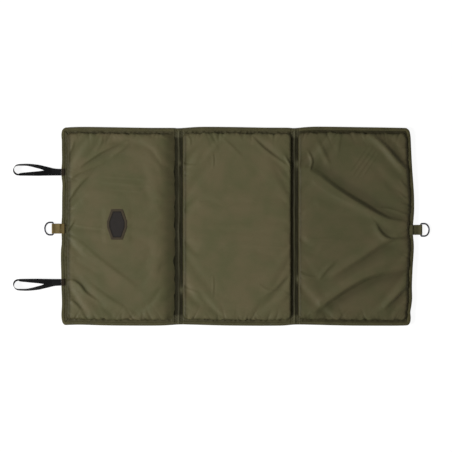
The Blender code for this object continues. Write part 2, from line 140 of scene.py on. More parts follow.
def smooth_line(points: Sequence[Sequence[float]], steps: int = 8) -> np.ndarray:
    """Runs a smooth curve through points, one a row, in steps between each two."""
    known = np.array(points, float)
    padded = np.vstack([known[:1], known, known[-1:]])
    t = (np.arange(steps) / steps)[:, None]
    spans = []
    for p0, p1, p2, p3 in zip(padded, padded[1:], padded[2:], padded[3:]):
        square = 2 * p0 - 5 * p1 + 4 * p2 - p3
        cubic = 3 * p1 - p0 - 3 * p2 + p3
        spans.append((2 * p1 + (p2 - p0) * t + square * t**2 + cubic * t**3) / 2)
    return np.vstack([*spans, known[-1:]])


def length_along(points: np.ndarray) -> np.ndarray:
    """Gives each point's distance along the line that the points make."""
    return np.concatenate([[0], np.cumsum(np.linalg.norm(np.diff(points, axis=0), axis=1))])


def unit(vectors: np.ndarray) -> np.ndarray:
    """Gives vectors, one a row, a length of 1."""
    return vectors / np.linalg.norm(vectors, axis=1)[:, None]


def smooth_table(knots: Sequence[tuple[float, float]], at: np.ndarray) -> np.ndarray:
    """Reads a smooth curve through (place, value) knots at the given places."""
    line = smooth_line(sorted(knots))
    return np.interp(at, line[:, 0], line[:, 1])


def soft_step(value: np.ndarray) -> np.ndarray:
    """Eases a share from 0 to 1 with level ends."""
    inside = np.clip(value, 0, 1)
    return inside * inside * (3 - 2 * inside)


def bell(value: np.ndarray, width: float, middle: float = 0.0) -> np.ndarray:
    """Gives a bell curve, which is 1 at its middle and 1/e a width away from it."""
    return np.exp(-(((value - middle) / width) ** 2))


def sine(place: np.ndarray, height: float, rate: float, phase: float = 0.0) -> np.ndarray:
    """Gives a sine wave along a line, at a rate in radians a metre."""
    return height * np.sin(place * rate + phase)


@dataclass(frozen=True)
class Outline:
    """How far in the sewn edge wanders, in pixels, at rows and columns of the photo."""

    left: tuple[tuple[float, float], ...] = (
        (128, 1.2), (134, 0.1), (141, 0.5), (152, 0.6), (181, 1.3), (196, 0.8), (238, 0.6),
        (250, -0.3), (262, -0.4), (292, 0.4), (304, 0.6), (316, 0.1), (323, 1.2),
    )
    right: tuple[tuple[float, float], ...] = (
        (128, 4.0), (131, 3.0), (136, 2.1), (148, 1.5), (166, 0.6), (184, -0.7), (196, -1.4),
        (210, -1.5), (218, -1.0), (225, -0.4), (235, -0.4), (242, -1.0), (248, -1.2), (256, -0.8),
        (268, 0.0), (286, 0.7), (298, 0.5), (306, 1.3), (312, 2.3), (318, 1.9), (323, 2.6),
    )
    back: tuple[tuple[float, float], ...] = (
        (60, 0.3), (80, -0.5), (110, -0.2), (146, 0.4), (172, 0.5), (179, 0.8), (200, -0.5),
        (230, -0.4), (266, 0.2), (288, 0.3), (295, 0.7), (314, -0.7), (350, -0.4), (390, 0.2),
        (414, 0.6),
    )
    front: tuple[tuple[float, float], ...] = (
        (60, -0.4), (80, 0.1), (110, -0.7), (158, -0.8), (179, 0.3), (194, 0.1), (230, -0.8),
        (278, -0.9), (295, 0.2), (314, 0.0), (350, -0.8), (398, -0.9), (414, -0.4),
    )
    held_rows: tuple[float, ...] = (172.4, 228.6, 282.4)
    held_width: float = 9.0
    fade: float = 75 * MM

    def moved(self, points: np.ndarray) -> np.ndarray:
        """Gives places at rest, one a row, drawn in where the edge near them wanders."""
        out = points.copy()
        scale = GRID.metres_per_pixel
        columns = GRID.middle_u + points[:, 0] / scale
        rows = GRID.middle_v - points[:, 1] / scale
        held = np.ones(len(points))
        for row in self.held_rows:
            held *= 1 - bell(rows, self.held_width, row)
        for sign, knots in ((-1, self.left), (1, self.right)):
            near = soft_step(1 - (LAYOUT.end_x - sign * points[:, 0]) / self.fade)
            inward = smooth_table(knots, rows) * (held if sign < 0 else 1)
            out[:, 0] -= sign * near * inward * scale
        for sign, knots in ((1, self.back), (-1, self.front)):
            near = soft_step(1 - (LAYOUT.back_y - sign * points[:, 1]) / self.fade)
            out[:, 1] -= sign * near * smooth_table(knots, columns) * scale
        return out


OUTLINE = Outline()


@dataclass(frozen=True)
class Fold:
    """One soft fold of a cover: a crest that rises gently and falls away on the left of its line.

    Attributes:
        points: The crest's line, in pixels of the photo.
        height: Height of the crest, in millimetres like the widths.
        fall: Width of the steep side.
        rise: Width of the gentle side.
        trough: Depth of the hollow past the steep side, as a share of the height.
        narrow: The share of its width that the steep side still has at the line's end.
        trough_reach: Width of the hollow, in widths of the gentle side.
        blunt: The share of the line at either end over which the crest stays as low as there.
        taper: The power by which the crest sinks towards its ends.
    """

    points: tuple[tuple[float, float], ...]
    height: float
    fall: float
    rise: float = 10.0
    trough: float = 0.5
    narrow: float = 1.0
    trough_reach: float = 1.6
    blunt: float = 0.02
    taper: float = 0.6

    def lift(self, plan: np.ndarray) -> np.ndarray:
        """Gives the height that the fold adds at places in plan, one a row."""
        line = smooth_line([GRID.place(*point) for point in self.points])
        start, step = line[:-1], np.diff(line, axis=0)
        length = np.maximum(np.einsum("ij,ij->i", step, step), TINY)
        offset = plan[:, None, :] - start[None]
        along = np.clip(np.einsum("nij,ij->ni", offset, step) / length, 0, 1)
        gap = offset - along[..., None] * step
        nearest = np.argmin(np.einsum("nij,nij->ni", gap, gap), axis=1)
        rows = np.arange(len(plan))
        chosen = gap[rows, nearest]
        side = step[nearest, 0] * chosen[:, 1] - step[nearest, 1] * chosen[:, 0]
        away = np.hypot(chosen[:, 0], chosen[:, 1]) * np.sign(side) / MM
        share = (nearest + along[rows, nearest]) / len(step)
        taper = np.sin(np.pi * np.clip(share, self.blunt, 1 - self.blunt)) ** self.taper
        fall = self.fall * (1 + (self.narrow - 1) * share)
        gentle = bell(away, self.rise)
        eased = 0.5 + 0.5 * np.cos(np.pi * np.clip(away / fall, 0, 1))
        steep = (1 + self.trough) * eased - self.trough
        back = -self.trough * bell(np.maximum(away - fall, 0), self.trough_reach * self.rise)
        shape = np.where(away < 0, gentle, np.where(away < fall, steep, back))
        return self.height * MM * taper * shape


LEFT_FOLDS = (
    Fold(((127, 140), (114, 145.5), (99.3, 153), (86.8, 161.5), (79, 167)), 2.9, 7, 10, 0.5),
    Fold(((131, 142), (122, 149), (111, 157)), 1.3, 8, 10, 0.4),
    Fold(((106, 161), (94, 166.5), (80, 172), (70, 178)), 2.0, 7, 8),
    Fold(((90, 174), (79, 185), (69, 197)), 1.5, 6, 8),
    Fold(((75, 192), (70, 198), (66, 203)), 1.0, 4, 5),
    Fold(((75, 209), (70, 213), (66, 216)), 0.8, 4, 5),
    Fold(((74, 221), (70, 227), (66, 233)), 1.5, 4, 5),
    Fold(((108, 229.5), (88, 227.5), (71, 224.5)), 0.9, 3, 6, 0.4),
    Fold(((75, 239), (97, 258), (119, 275), (138, 289)), 1.1, 12, 16, 0.3),
    Fold(((88, 284), (111, 300.5), (136, 316)), 1.1, 11, 14, 0.3),
    Fold(((65, 281), (73, 281), (79.5, 285), (86, 293), (97, 301)), 2.6, 6, 9, 0.5),
    Fold(((70, 300), (76, 304.5), (83, 312)), 1.6, 5, 7, 0.4),
    Fold(((150, 180), (125, 178), (100, 176)), 0.4, 4, 6),
    Fold(((152, 186.5), (126, 184.5), (101, 182.5)), 0.4, 4, 6),
    Fold(((142, 192), (122, 190.5), (104, 189)), 0.35, 4, 6),
    Fold(((74, 141), (71, 149), (66, 157)), 1.1, 6, 6),
    Fold(((102, 134), (101, 143), (95, 152)), 0.7, 6, 7),
    Fold(((160, 133), (164, 136), (170, 138)), 1.0, 4, 5),
)
MIDDLE_FOLDS = (
    Fold(((213, 153), (213.4, 160), (213.2, 168)), 0.7, 2.5, 3, 0.7),
    Fold(((213.2, 276), (213.4, 286), (213, 297)), 0.6, 2.5, 3, 0.7),
    Fold(((251, 136), (265, 149.5), (287, 166)), 2.2, 7, 9, 0.5),
    Fold(((221, 137), (231, 146), (242, 157)), 0.7, 7, 9, 0.4),
    Fold(((292, 273), (284, 279.5), (275, 289), (262, 297)), 1.2, 6, 8, 0.5),
    Fold(((258, 284), (268, 290), (280, 291)), 0.6, 5, 7),
    Fold(((221, 199.5), (204, 199), (186, 200.5)), 0.35, 3, 5),
    Fold(((288, 248), (268, 247), (246, 246.5)), 0.35, 3, 5),
    Fold(((285, 156), (289, 163), (292, 171)), 1.6, 4, 4, 0.7),
    Fold(((181, 283), (187, 289), (197, 292)), 1.1, 4, 5, 0.6),
    Fold(((181, 162), (187, 165), (196, 165)), 0.9, 4, 5, 0.6),
    Fold(((186, 134), (190, 139), (190, 146)), 0.8, 4, 5, 0.5),
)
RIGHT_FOLDS = (
    Fold(
        (
            (299, 171), (313.7, 175.8), (330.3, 187.5), (347, 198), (362, 206), (378.7, 215.5),
            (392, 220.5), (412, 223.5),
        ),
        5.4, 27, 16, 0.8, 0.3,
    ),
    Fold(((375, 208), (392, 210), (411, 218)), 1.3, 6, 6, 0.3),
    Fold(((369, 133), (385, 147.5), (398.5, 162.5), (411, 173)), 3.8, 13, 12, 0.6),
    Fold(((372, 148), (362, 162), (352, 176)), 0.5, 2.5, 3, 0.6),
    Fold(((376, 150), (366, 164), (356, 178)), 0.5, 2.5, 3, 0.6),
    Fold(((380, 152), (370, 166), (361, 179)), 0.4, 2.5, 3, 0.6),
    Fold(((367, 147), (358, 160), (349, 172)), 0.4, 2.5, 3, 0.6),
    Fold(((308, 151), (312, 161), (309, 172)), 1.8, 5, 5, 0.5),
    Fold(((317, 141), (323, 152), (329, 165)), 1.7, 12, 9, 0.4),
    Fold(((375, 223), (381, 233.5), (391, 239.5), (410, 240)), 3.2, 8, 12, 0.7),
    Fold(((347, 240.5), (320, 239.7), (304, 241.5)), 0.4, 3, 5),
    Fold(((411, 231), (384, 242), (358.7, 258.5), (331, 276)), 3.4, 14, 14, 0.6),
    Fold(
        ((412, 265), (392, 269), (368.7, 275.5), (347, 287), (325.3, 301.5), (313, 312)),
        5.0, 15, 14, 0.7,
    ),
    Fold(((410, 282), (396, 296), (383, 308)), 3.4, 11, 10, 0.5),
    Fold(((335, 262), (327, 269), (319, 279)), 1.6, 8, 8),
    Fold(((341, 133), (339, 143), (338, 152)), 0.7, 7, 8),
    Fold(((300, 272), (306, 276), (316, 277)), 1.1, 4, 6),
    Fold(((400, 180), (405, 187), (411, 191)), 1.0, 5, 5),
    Fold(((398, 192), (404, 198), (411, 202)), 1.0, 5, 5),
)


@dataclass(frozen=True)
class Gathers:
    """Irregular puckers where a cover is gathered into its seam."""

    seed: int
    spacing: tuple[float, float] = (8 * MM, 24 * MM)
    depth: tuple[float, float] = (0.6 * MM, 2.6 * MM)
    width: tuple[float, float] = (2.2 * MM, 4.8 * MM)
    reach: tuple[float, float] = (4 * MM, 18 * MM)
    lean: float = 0.8

    def lift(self, along: np.ndarray, inward: np.ndarray) -> np.ndarray:
        """Gives the puckers' height, below 0, at places along and in from the seam."""
        random = np.random.default_rng(self.seed)
        place, high = along.min(), along.max()
        total = np.zeros(len(along))
        while place < high:
            place += random.uniform(*self.spacing)
            depth = random.uniform(*self.depth)
            width = random.uniform(*self.width)
            reach = random.uniform(*self.reach)
            lean = random.uniform(-self.lean, self.lean)
            across = (along - place - lean * inward) / width
            total -= depth * np.exp(-(across**2) - np.abs(inward) / reach)
        return total


def to_linear(code: str) -> tuple[float, float, float, float]:
    """Turns an sRGB hex colour into the linear colour that a shader takes."""
    values = [int(code[index : index + 2], 16) / 255 for index in (0, 2, 4)]
    linear = [v / 12.92 if v <= 0.04045 else ((v + 0.055) / 1.055) ** 2.4 for v in values]
    return (*linear, 1.0)


def feed(node: bpy.types.Node, sockets: dict[str | int, object]) -> None:
    """Sets a node's inputs to values, or links them to output sockets given in their place."""
    for key, value in sockets.items():
        if isinstance(value, bpy.types.NodeSocket):
            node.id_data.links.new(value, node.inputs[key])
        else:
            node.inputs[key].default_value = value


def add_node(
    tree: bpy.types.NodeTree, kind: str, sockets: dict[str | int, object] | None = None,
    **settings: object,
) -> bpy.types.Node:
    """Adds a node with its settings, values and links.

    Args:
        tree: The tree that the node joins.
        kind: The node's type name.
        sockets: For each input, by name or index, a value or the output socket that feeds it.
        settings: The node's own settings.

    Returns:
        The node.
    """
    node = tree.nodes.new(kind)
    for name, value in settings.items():
        setattr(node, name, value)
    feed(node, sockets or {})
    return node


class Shading:
    """A Principled material in the making, with the nodes that several finishes use."""

    def __init__(self, name: str) -> None:
        """Starts the material."""
        self.material = bpy.data.materials.new(name)
        self.material.use_nodes = True
        self.tree = self.material.node_tree

    def value(
        self, kind: str, output: str | int, sockets: dict[str | int, object] | None = None,
        **settings: object,
    ) -> bpy.types.NodeSocket:
        """Adds a node and gives one of its outputs, by name or index."""
        return add_node(self.tree, kind, sockets, **settings).outputs[output]

    def ranged(
        self, share: bpy.types.NodeSocket, low: float, high: float, **settings: object
    ) -> bpy.types.NodeSocket:
        """Spreads a share from 0 to 1 over a range."""
        sockets = {"Value": share, "To Min": low, "To Max": high}
        return self.value("ShaderNodeMapRange", "Result", sockets, **settings)

    def product(
        self, first: bpy.types.NodeSocket, second: bpy.types.NodeSocket | float
    ) -> bpy.types.NodeSocket:
        """Multiplies two values."""
        return self.value("ShaderNodeMath", 0, {0: first, 1: second}, operation="MULTIPLY")

    def noise(
        self, place: bpy.types.NodeSocket, size: float, detail: float = 2.0
    ) -> bpy.types.NodeSocket:
        """Gives soft patches of about a size."""
        sockets = {"Vector": place, "Scale": 1 / size, "Detail": detail}
        return self.value("ShaderNodeTexNoise", "Fac", sockets)

    def between(self, share: bpy.types.NodeSocket, dark: str, light: str) -> bpy.types.NodeSocket:
        """Gives a colour between two hex colours."""
        sockets = {0: share, 6: to_linear(dark), 7: to_linear(light)}
        return self.value("ShaderNodeMix", 2, sockets, data_type="RGBA")

    def bump(
        self, height: bpy.types.NodeSocket, strength: float, distance: float
    ) -> bpy.types.NodeSocket:
        """Gives the normal of a surface with a height on it."""
        sockets = {"Height": height, "Strength": strength, "Distance": distance}
        return self.value("ShaderNodeBump", "Normal", sockets)

    def finished(self, inputs: dict[str, object]) -> bpy.types.Material:
        """Feeds the shader and gives the material."""
        feed(self.tree.nodes["Principled BSDF"], inputs)
        return self.material


class Space(Enum):
    """Which coordinates a finish lies on."""

    OBJECT = "Object"
    SURFACE = "UV"


class Weave(Enum):
    """How the threads of a cloth lie: the directions in which their bands follow each other."""

    PLAIN = ("X", "Y")
    RIBBED = ("X",)


@dataclass(frozen=True)
class Cloth:
    """A woven synthetic: its colours, thread spacing and how it takes the light.

    Attributes:
        light, dark: The two colours that its patches go between.
        pitch_mm, bump_mm: Spacing and height of the threads.
        shade_depth: How much full painted shade darkens the cloth. At 0 it takes no painted shade.
        patch_edges: Values of the patches' noise that give the dark and the light colour.
        patch_gloss: How much rougher or smoother a patch can be.
    """

    name: str
    light: str
    dark: str
    pitch_mm: float
    bump_mm: float
    roughness: float
    weave: Weave = Weave.PLAIN
    space: Space = Space.OBJECT
    patch_mm: float = 110.0
    specular: float = 0.2
    shade_depth: float = 0.0
    patch_edges: tuple[float, float] = (0.35, 0.65)
    patch_detail: float = 3.0
    patch_gloss: float = 0.08
    thread_contrast: float = 0.18
    thread_wander: float = 0.4
    bump_strength: float = 0.6

    def threads(self, shading: Shading, place: bpy.types.NodeSocket) -> bpy.types.NodeSocket:
        """Gives the threads' height, from 0 in the gaps to 1."""
        # The wave texture's bands are pi / (10 * scale) apart.
        scale = math.pi / (10 * self.pitch_mm * MM)
        sockets = {"Vector": place, "Scale": scale, "Distortion": self.thread_wander}
        waves = [
            shading.value(
                "ShaderNodeTexWave", "Fac", sockets, wave_type="BANDS", bands_direction=direction
            )
            for direction in self.weave.value
        ]
        return shading.product(*waves) if len(waves) > 1 else waves[0]

    def build(self) -> bpy.types.Material:
        """Makes the material: threads as colour and bump, over slow patches of the two colours."""
        shading = Shading(self.name)
        place = shading.value("ShaderNodeTexCoord", self.space.value)
        thread = self.threads(shading, place)
        patch = shading.noise(place, self.patch_mm * MM, self.patch_detail)
        low, high = self.patch_edges
        share = shading.value(
            "ShaderNodeMapRange", "Result", {"Value": patch, "From Min": low, "From Max": high}
        )
        ground = shading.between(share, self.dark, self.light)
        shade = shading.ranged(thread, 1 - self.thread_contrast, 1 + self.thread_contrast / 2)
        gloss = self.specular
        # Painted shade from the mesh attribute darkens the colour and dims the gloss. Below 0 it is
        # painted light, which makes both stronger.
        if self.shade_depth:
            painted_shade = shading.value("ShaderNodeAttribute", "Fac", attribute_name=PAINTED_SHADE)
            kept = shading.ranged(painted_shade, 1.0, 1 - self.shade_depth, clamp=False)
            shade = shading.product(shade, kept)
            gloss = shading.product(kept, gloss)
        sockets = {0: 1.0, 6: ground, 7: shade}
        colour = shading.value(
            "ShaderNodeMix", 2, sockets, data_type="RGBA", blend_type="MULTIPLY"
        )
        rough, vary = self.roughness, self.patch_gloss
        return shading.finished({
            "Base Color": colour,
            "Roughness": shading.ranged(patch, rough - vary, rough + vary),
            "Specular IOR Level": gloss,
            "Normal": shading.bump(thread, self.bump_strength, self.bump_mm * MM),
        })


@dataclass(frozen=True)
class Plated:
    """Black-nickel plated steel wire: dark and glossy, with faint handling marks."""

    name: str
    colour: str
    roughness: float
    mark_mm: float = 3.0
    mark_detail: float = 4.0
    polished: float = 0.1
    rubbed: float = 0.15

    def build(self) -> bpy.types.Material:
        """Makes the material."""
        shading = Shading(self.name)
        place = shading.value("ShaderNodeTexCoord", "Object")
        marks = shading.noise(place, self.mark_mm * MM, self.mark_detail)
        rough = shading.ranged(marks, self.roughness - self.polished, self.roughness + self.rubbed)
        return shading.finished(
            {"Metallic": 1.0, "Roughness": rough, "Base Color": to_linear(self.colour)}
        )


@dataclass(frozen=True)
class Grained:
    """Pressed synthetic leather: a fine pebbled grain on a dark ground that clouds slowly."""

    name: str
    light: str
    dark: str
    grain_mm: float
    roughness: float
    specular: float = 0.15
    cloud_grains: int = 14
    bump_strength: float = 0.5
    bump_mm: float = 0.2

    def build(self) -> bpy.types.Material:
        """Makes the material."""
        shading = Shading(self.name)
        place = shading.value("ShaderNodeTexCoord", "Object")
        sockets = {"Vector": place, "Scale": 1 / (self.grain_mm * MM)}
        grain = shading.value("ShaderNodeTexVoronoi", "Distance", sockets)
        cloud = shading.noise(place, self.cloud_grains * self.grain_mm * MM)
        return shading.finished({
            "Base Color": shading.between(cloud, self.dark, self.light),
            "Normal": shading.bump(grain, self.bump_strength, self.bump_mm * MM),
            "Roughness": self.roughness,
            "Specular IOR Level": self.specular,
        })


class Finishes:
    """Every material of the mat, each made once."""

    def __init__(self) -> None:
        """Makes the materials."""
        # Coated polyester oxford: matt threads under a thin satin coating, with painted shade that
        # darkens it at its seams, down its long slopes and in its creases. The real cloth's threads
        # are finer, and are drawn coarser so that they show.
        self.cover = Cloth(
            "coated_polyester_oxford", "524B32", "49472C", 1.3, 0.2, 0.55, patch_mm=60.0,
            shade_depth=0.72,
        ).build()
        # The cover's oxford on the hems, in darker colours as painted shade beside the pads, and
        # with more painted shade from its attribute.
        self.hem = Cloth(
            "hem_oxford_painted_shade", "3F3B22", "37331D", 1.3, 0.25, 0.62, shade_depth=0.5
        ).build()
        # Backing oxford with a heavier coating, darker and flatter than the face.
        self.base = Cloth("coated_backing_oxford", "3F3E2B", "363524", 1.6, 0.3, 0.7).build()
        # Grosgrain tape: ribs across its length, 1 mm apart.
        self.tape = Cloth(
            "grosgrain_binding_tape", "3D391E", "343119", 1.0, 0.3, 0.7, Weave.RIBBED,
            Space.SURFACE, 40.0,
        ).build()
        # The same oxford doubled between the folds' stitch lines, in darker colours as painted shade
        # for the groove between the pads.
        # Its painted shade darkens the strip's sides and leaves the raised middle paler, and painted
        # light makes the bunched cover on it paler still.
        self.web = Cloth(
            "fold_strip_oxford_painted_shade", "33311F", "2E2C1C", 1.3, 0.25, 0.66, specular=0.1, shade_depth=0.5
        ).build()
        # Knitted elastic: black, with ribs that run across it.
        self.elastic = Cloth(
            "black_knitted_elastic", "09090A", "060607", 1.2, 0.3, 0.8, Weave.RIBBED, Space.SURFACE,
            30.0, specular=0.1,
        ).build()
        # Polypropylene webbing: coarse weave that catches the light on each float.
        self.webbing = Cloth(
            "olive_polypropylene_webbing", "5E502B", "504322", 2.0, 0.45, 0.72,
            space=Space.SURFACE, patch_mm=25.0,
        ).build()
        # A darker copy of the same webbing for the right tab, as painted shade.
        self.shaded_webbing = Cloth(
            "shaded_polypropylene_webbing", "49452A", "3F3C24", 2.0, 0.45, 0.72,
            space=Space.SURFACE, patch_mm=25.0,
        ).build()
        self.thread = Cloth("bonded_olive_thread", "5A5639", "474429", 0.6, 0.1, 0.6).build()
        # The folds' stitches are real. Their dark brown thread is partly painted shade for the
        # creases along the stitch lines.
        self.dark_thread = Cloth("brown_thread_painted_crease_shade", "33291C", "271F16", 0.6, 0.1, 0.6).build()
        self.root = Cloth(
            "waxed_elastic_end", "21190E", "1A140B", 1.2, 0.3, 0.75, specular=0.1
        ).build()
        self.ring = Plated("black_nickel_steel", "2E2E33", 0.32).build()
        self.leather = Grained("pressed_brown_leather", "1D1917", "171412", 1.1, 0.6).build()
        self.leather_rim = Grained("raised_leather_rim", "342D20", "2B2419", 1.1, 0.55).build()
        self.leather_line = Grained("pressed_leather_line", "100D09", "0D0A07", 1.1, 0.7).build()


def add_object(name: str, data: bpy.types.ID) -> bpy.types.Object:
    """Makes an object at the origin and links it to the scene."""
    added = bpy.data.objects.new(name, data)
    bpy.context.scene.collection.objects.link(added)
    return added


@contextmanager
def edited(mesh: bpy.types.Mesh) -> Iterator[bmesh.types.BMesh]:
    """Opens a mesh to edit its faces and edges, and writes it back at the end."""
    bm = bmesh.new()
    bm.from_mesh(mesh)
    yield bm
    bm.to_mesh(mesh)
    bm.free()


def new_piece(
    name: str, vertices: np.ndarray, faces: Iterable[Sequence[int]],
    materials: Sequence[bpy.types.Material],
) -> bpy.types.Object:
    """Makes a smooth-shaded mesh object, whose faces take its first material."""
    mesh = bpy.data.meshes.new(name)
    mesh.from_pydata(np.asarray(vertices, float).tolist(), [], [tuple(face) for face in faces])
    for material in materials:
        mesh.materials.append(material)
    mesh.shade_smooth()
    return add_object(name, mesh)


def get_co(piece: bpy.types.Object) -> np.ndarray:
    """Reads a mesh's points."""
    values = np.zeros(len(piece.data.vertices) * 3)
    piece.data.vertices.foreach_get("co", values)
    return values.reshape(-1, 3)


def set_co(piece: bpy.types.Object, points: np.ndarray) -> None:
    """Writes a mesh's points."""
    piece.data.vertices.foreach_set("co", np.asarray(points, np.float32).ravel())
    piece.data.update()


def set_painted_shade(piece: bpy.types.Object, values: np.ndarray) -> None:
    """Writes each point's painted shade: 0 is none, 1 is full painted shade, and less than 0 is
    painted light, paler than the cloth.
    """
    layer = piece.data.attributes.new(PAINTED_SHADE, "FLOAT", "POINT")
    layer.data.foreach_set("value", np.clip(values, -2, 1).astype(np.float32))


def loft(
    name: str, rings: np.ndarray, material: bpy.types.Material, closed: bool = False
) -> bpy.types.Object:
    """Skins a row of like rings, with outward faces and a UV map along and round them in metres.

    Args:
        name: The piece's name.
        rings: The rings, as an array of ring, point and coordinate.
        material: The piece's material.
        closed: Whether the last ring joins the first. If not, both ends are capped.

    Returns:
        The object.
    """
    count, around = rings.shape[:2]
    last = count if closed else count - 1
    faces = []
    for i in range(last):
        for j in range(around):
            k, m = (i + 1) % count, (j + 1) % around
            faces.append((i * around + j, k * around + j, k * around + m, i * around + m))
    if not closed:
        faces.append(tuple(range(around)))
        faces.append(tuple((count - 1) * around + j for j in reversed(range(around))))
    piece = new_piece(name, rings.reshape(-1, 3), faces, [material])
    along, across = length_along(rings.mean(axis=1)), length_along(rings[count // 2])
    layer = piece.data.uv_layers.new(name="UVMap")
    for polygon in piece.data.polygons:
        for corner in polygon.loop_indices:
            ring, point = divmod(piece.data.loops[corner].vertex_index, around)
            layer.data[corner].uv = (along[ring], across[point])
    with edited(piece.data) as bm:
        bmesh.ops.recalc_face_normals(bm, faces=bm.faces[:])
    return piece


@dataclass(frozen=True)
class Swelling:
    """How a pad's cover swells as cloth over its foam.

    Attributes:
        pressure, tension, bending, looseness, mass, quality: The cloth simulation's settings.
        frames: How many frames it runs.
        cap: The most that a point may move.
        held_share: The share of the full rise below which a point is sewn down.
        held_height: The height below which a point lies on the ground.
    """

    pressure: float = 0.12
    tension: float = 40.0
    bending: float = 0.6
    looseness: float = 0.0025
    mass: float = 0.2
    quality: int = 5
    frames: int = 20
    cap: float = 2.6 * MM
    held_share: float = 0.02
    held_height: float = 0.4 * MM

    def run(self, piece: bpy.types.Object, share: np.ndarray) -> None:
        """Lets a cover swell, held at its seam and where it lies on the ground."""
        rest = get_co(piece)
        held = piece.vertex_groups.new(name="held")
        still = (share < self.held_share) | (rest[:, 2] < self.held_height)
        held.add(np.flatnonzero(still).tolist(), 1.0, "REPLACE")
        cloth = piece.modifiers.new("cloth", "CLOTH")
        settings = cloth.settings
        settings.quality = self.quality
        settings.mass = self.mass
        settings.tension_stiffness = self.tension
        settings.compression_stiffness = self.tension
        settings.bending_stiffness = self.bending
        settings.shrink_min = -self.looseness
        settings.use_pressure = True
        settings.uniform_pressure_force = self.pressure
        settings.vertex_group_mass = held.name
        settings.effector_weights.gravity = 0
        cloth.point_cache.frame_start = 1
        cloth.point_cache.frame_end = self.frames
        scene = bpy.context.scene
        for number in range(1, self.frames + 1):
            scene.frame_set(number)
        graph = bpy.context.evaluated_depsgraph_get()
        move = get_co(piece.evaluated_get(graph)) - rest
        piece.modifiers.remove(cloth)
        scene.frame_set(1)
        piece.vertex_groups.remove(held)
        length = np.linalg.norm(move, axis=1)
        LOG.info("%s swelled by up to %.1f mm", piece.name, length.max() / MM)
        capped = self.cap * np.tanh(length / self.cap)
        set_co(piece, rest + move * (capped / np.maximum(length, TINY))[:, None])


@dataclass(frozen=True)
class ShadePainting:
    """How much shade is painted on a pad's cover, everywhere, beside its seams and in its creases.

    Attributes:
        floor: Painted shade that the cover has everywhere.
        low, high, hem: Painted shade at the seams of its low X end, its high X end and its hems.
        reach: How far the painted shade of the seams reaches in.
        slope, slope_rate: Painted shade down a long slope, and how soon it is full.
        crease, full_crease: Painted shade in a crease, and the depth at which it is full.
        most: The most painted shade that all of these come to.
        low_shade: Further painted shade at the low X end, on top of the rest.
    """

    floor: float = 0.0
    low: float = 3.0
    high: float = 0.5
    hem: float = 0.7
    reach: float = 8 * MM
    slope: float = 0.5
    slope_rate: float = 1.5
    crease: float = 0.5
    full_crease: float = 2.5 * MM
    most: float = 0.625
    low_shade: float = 0.05


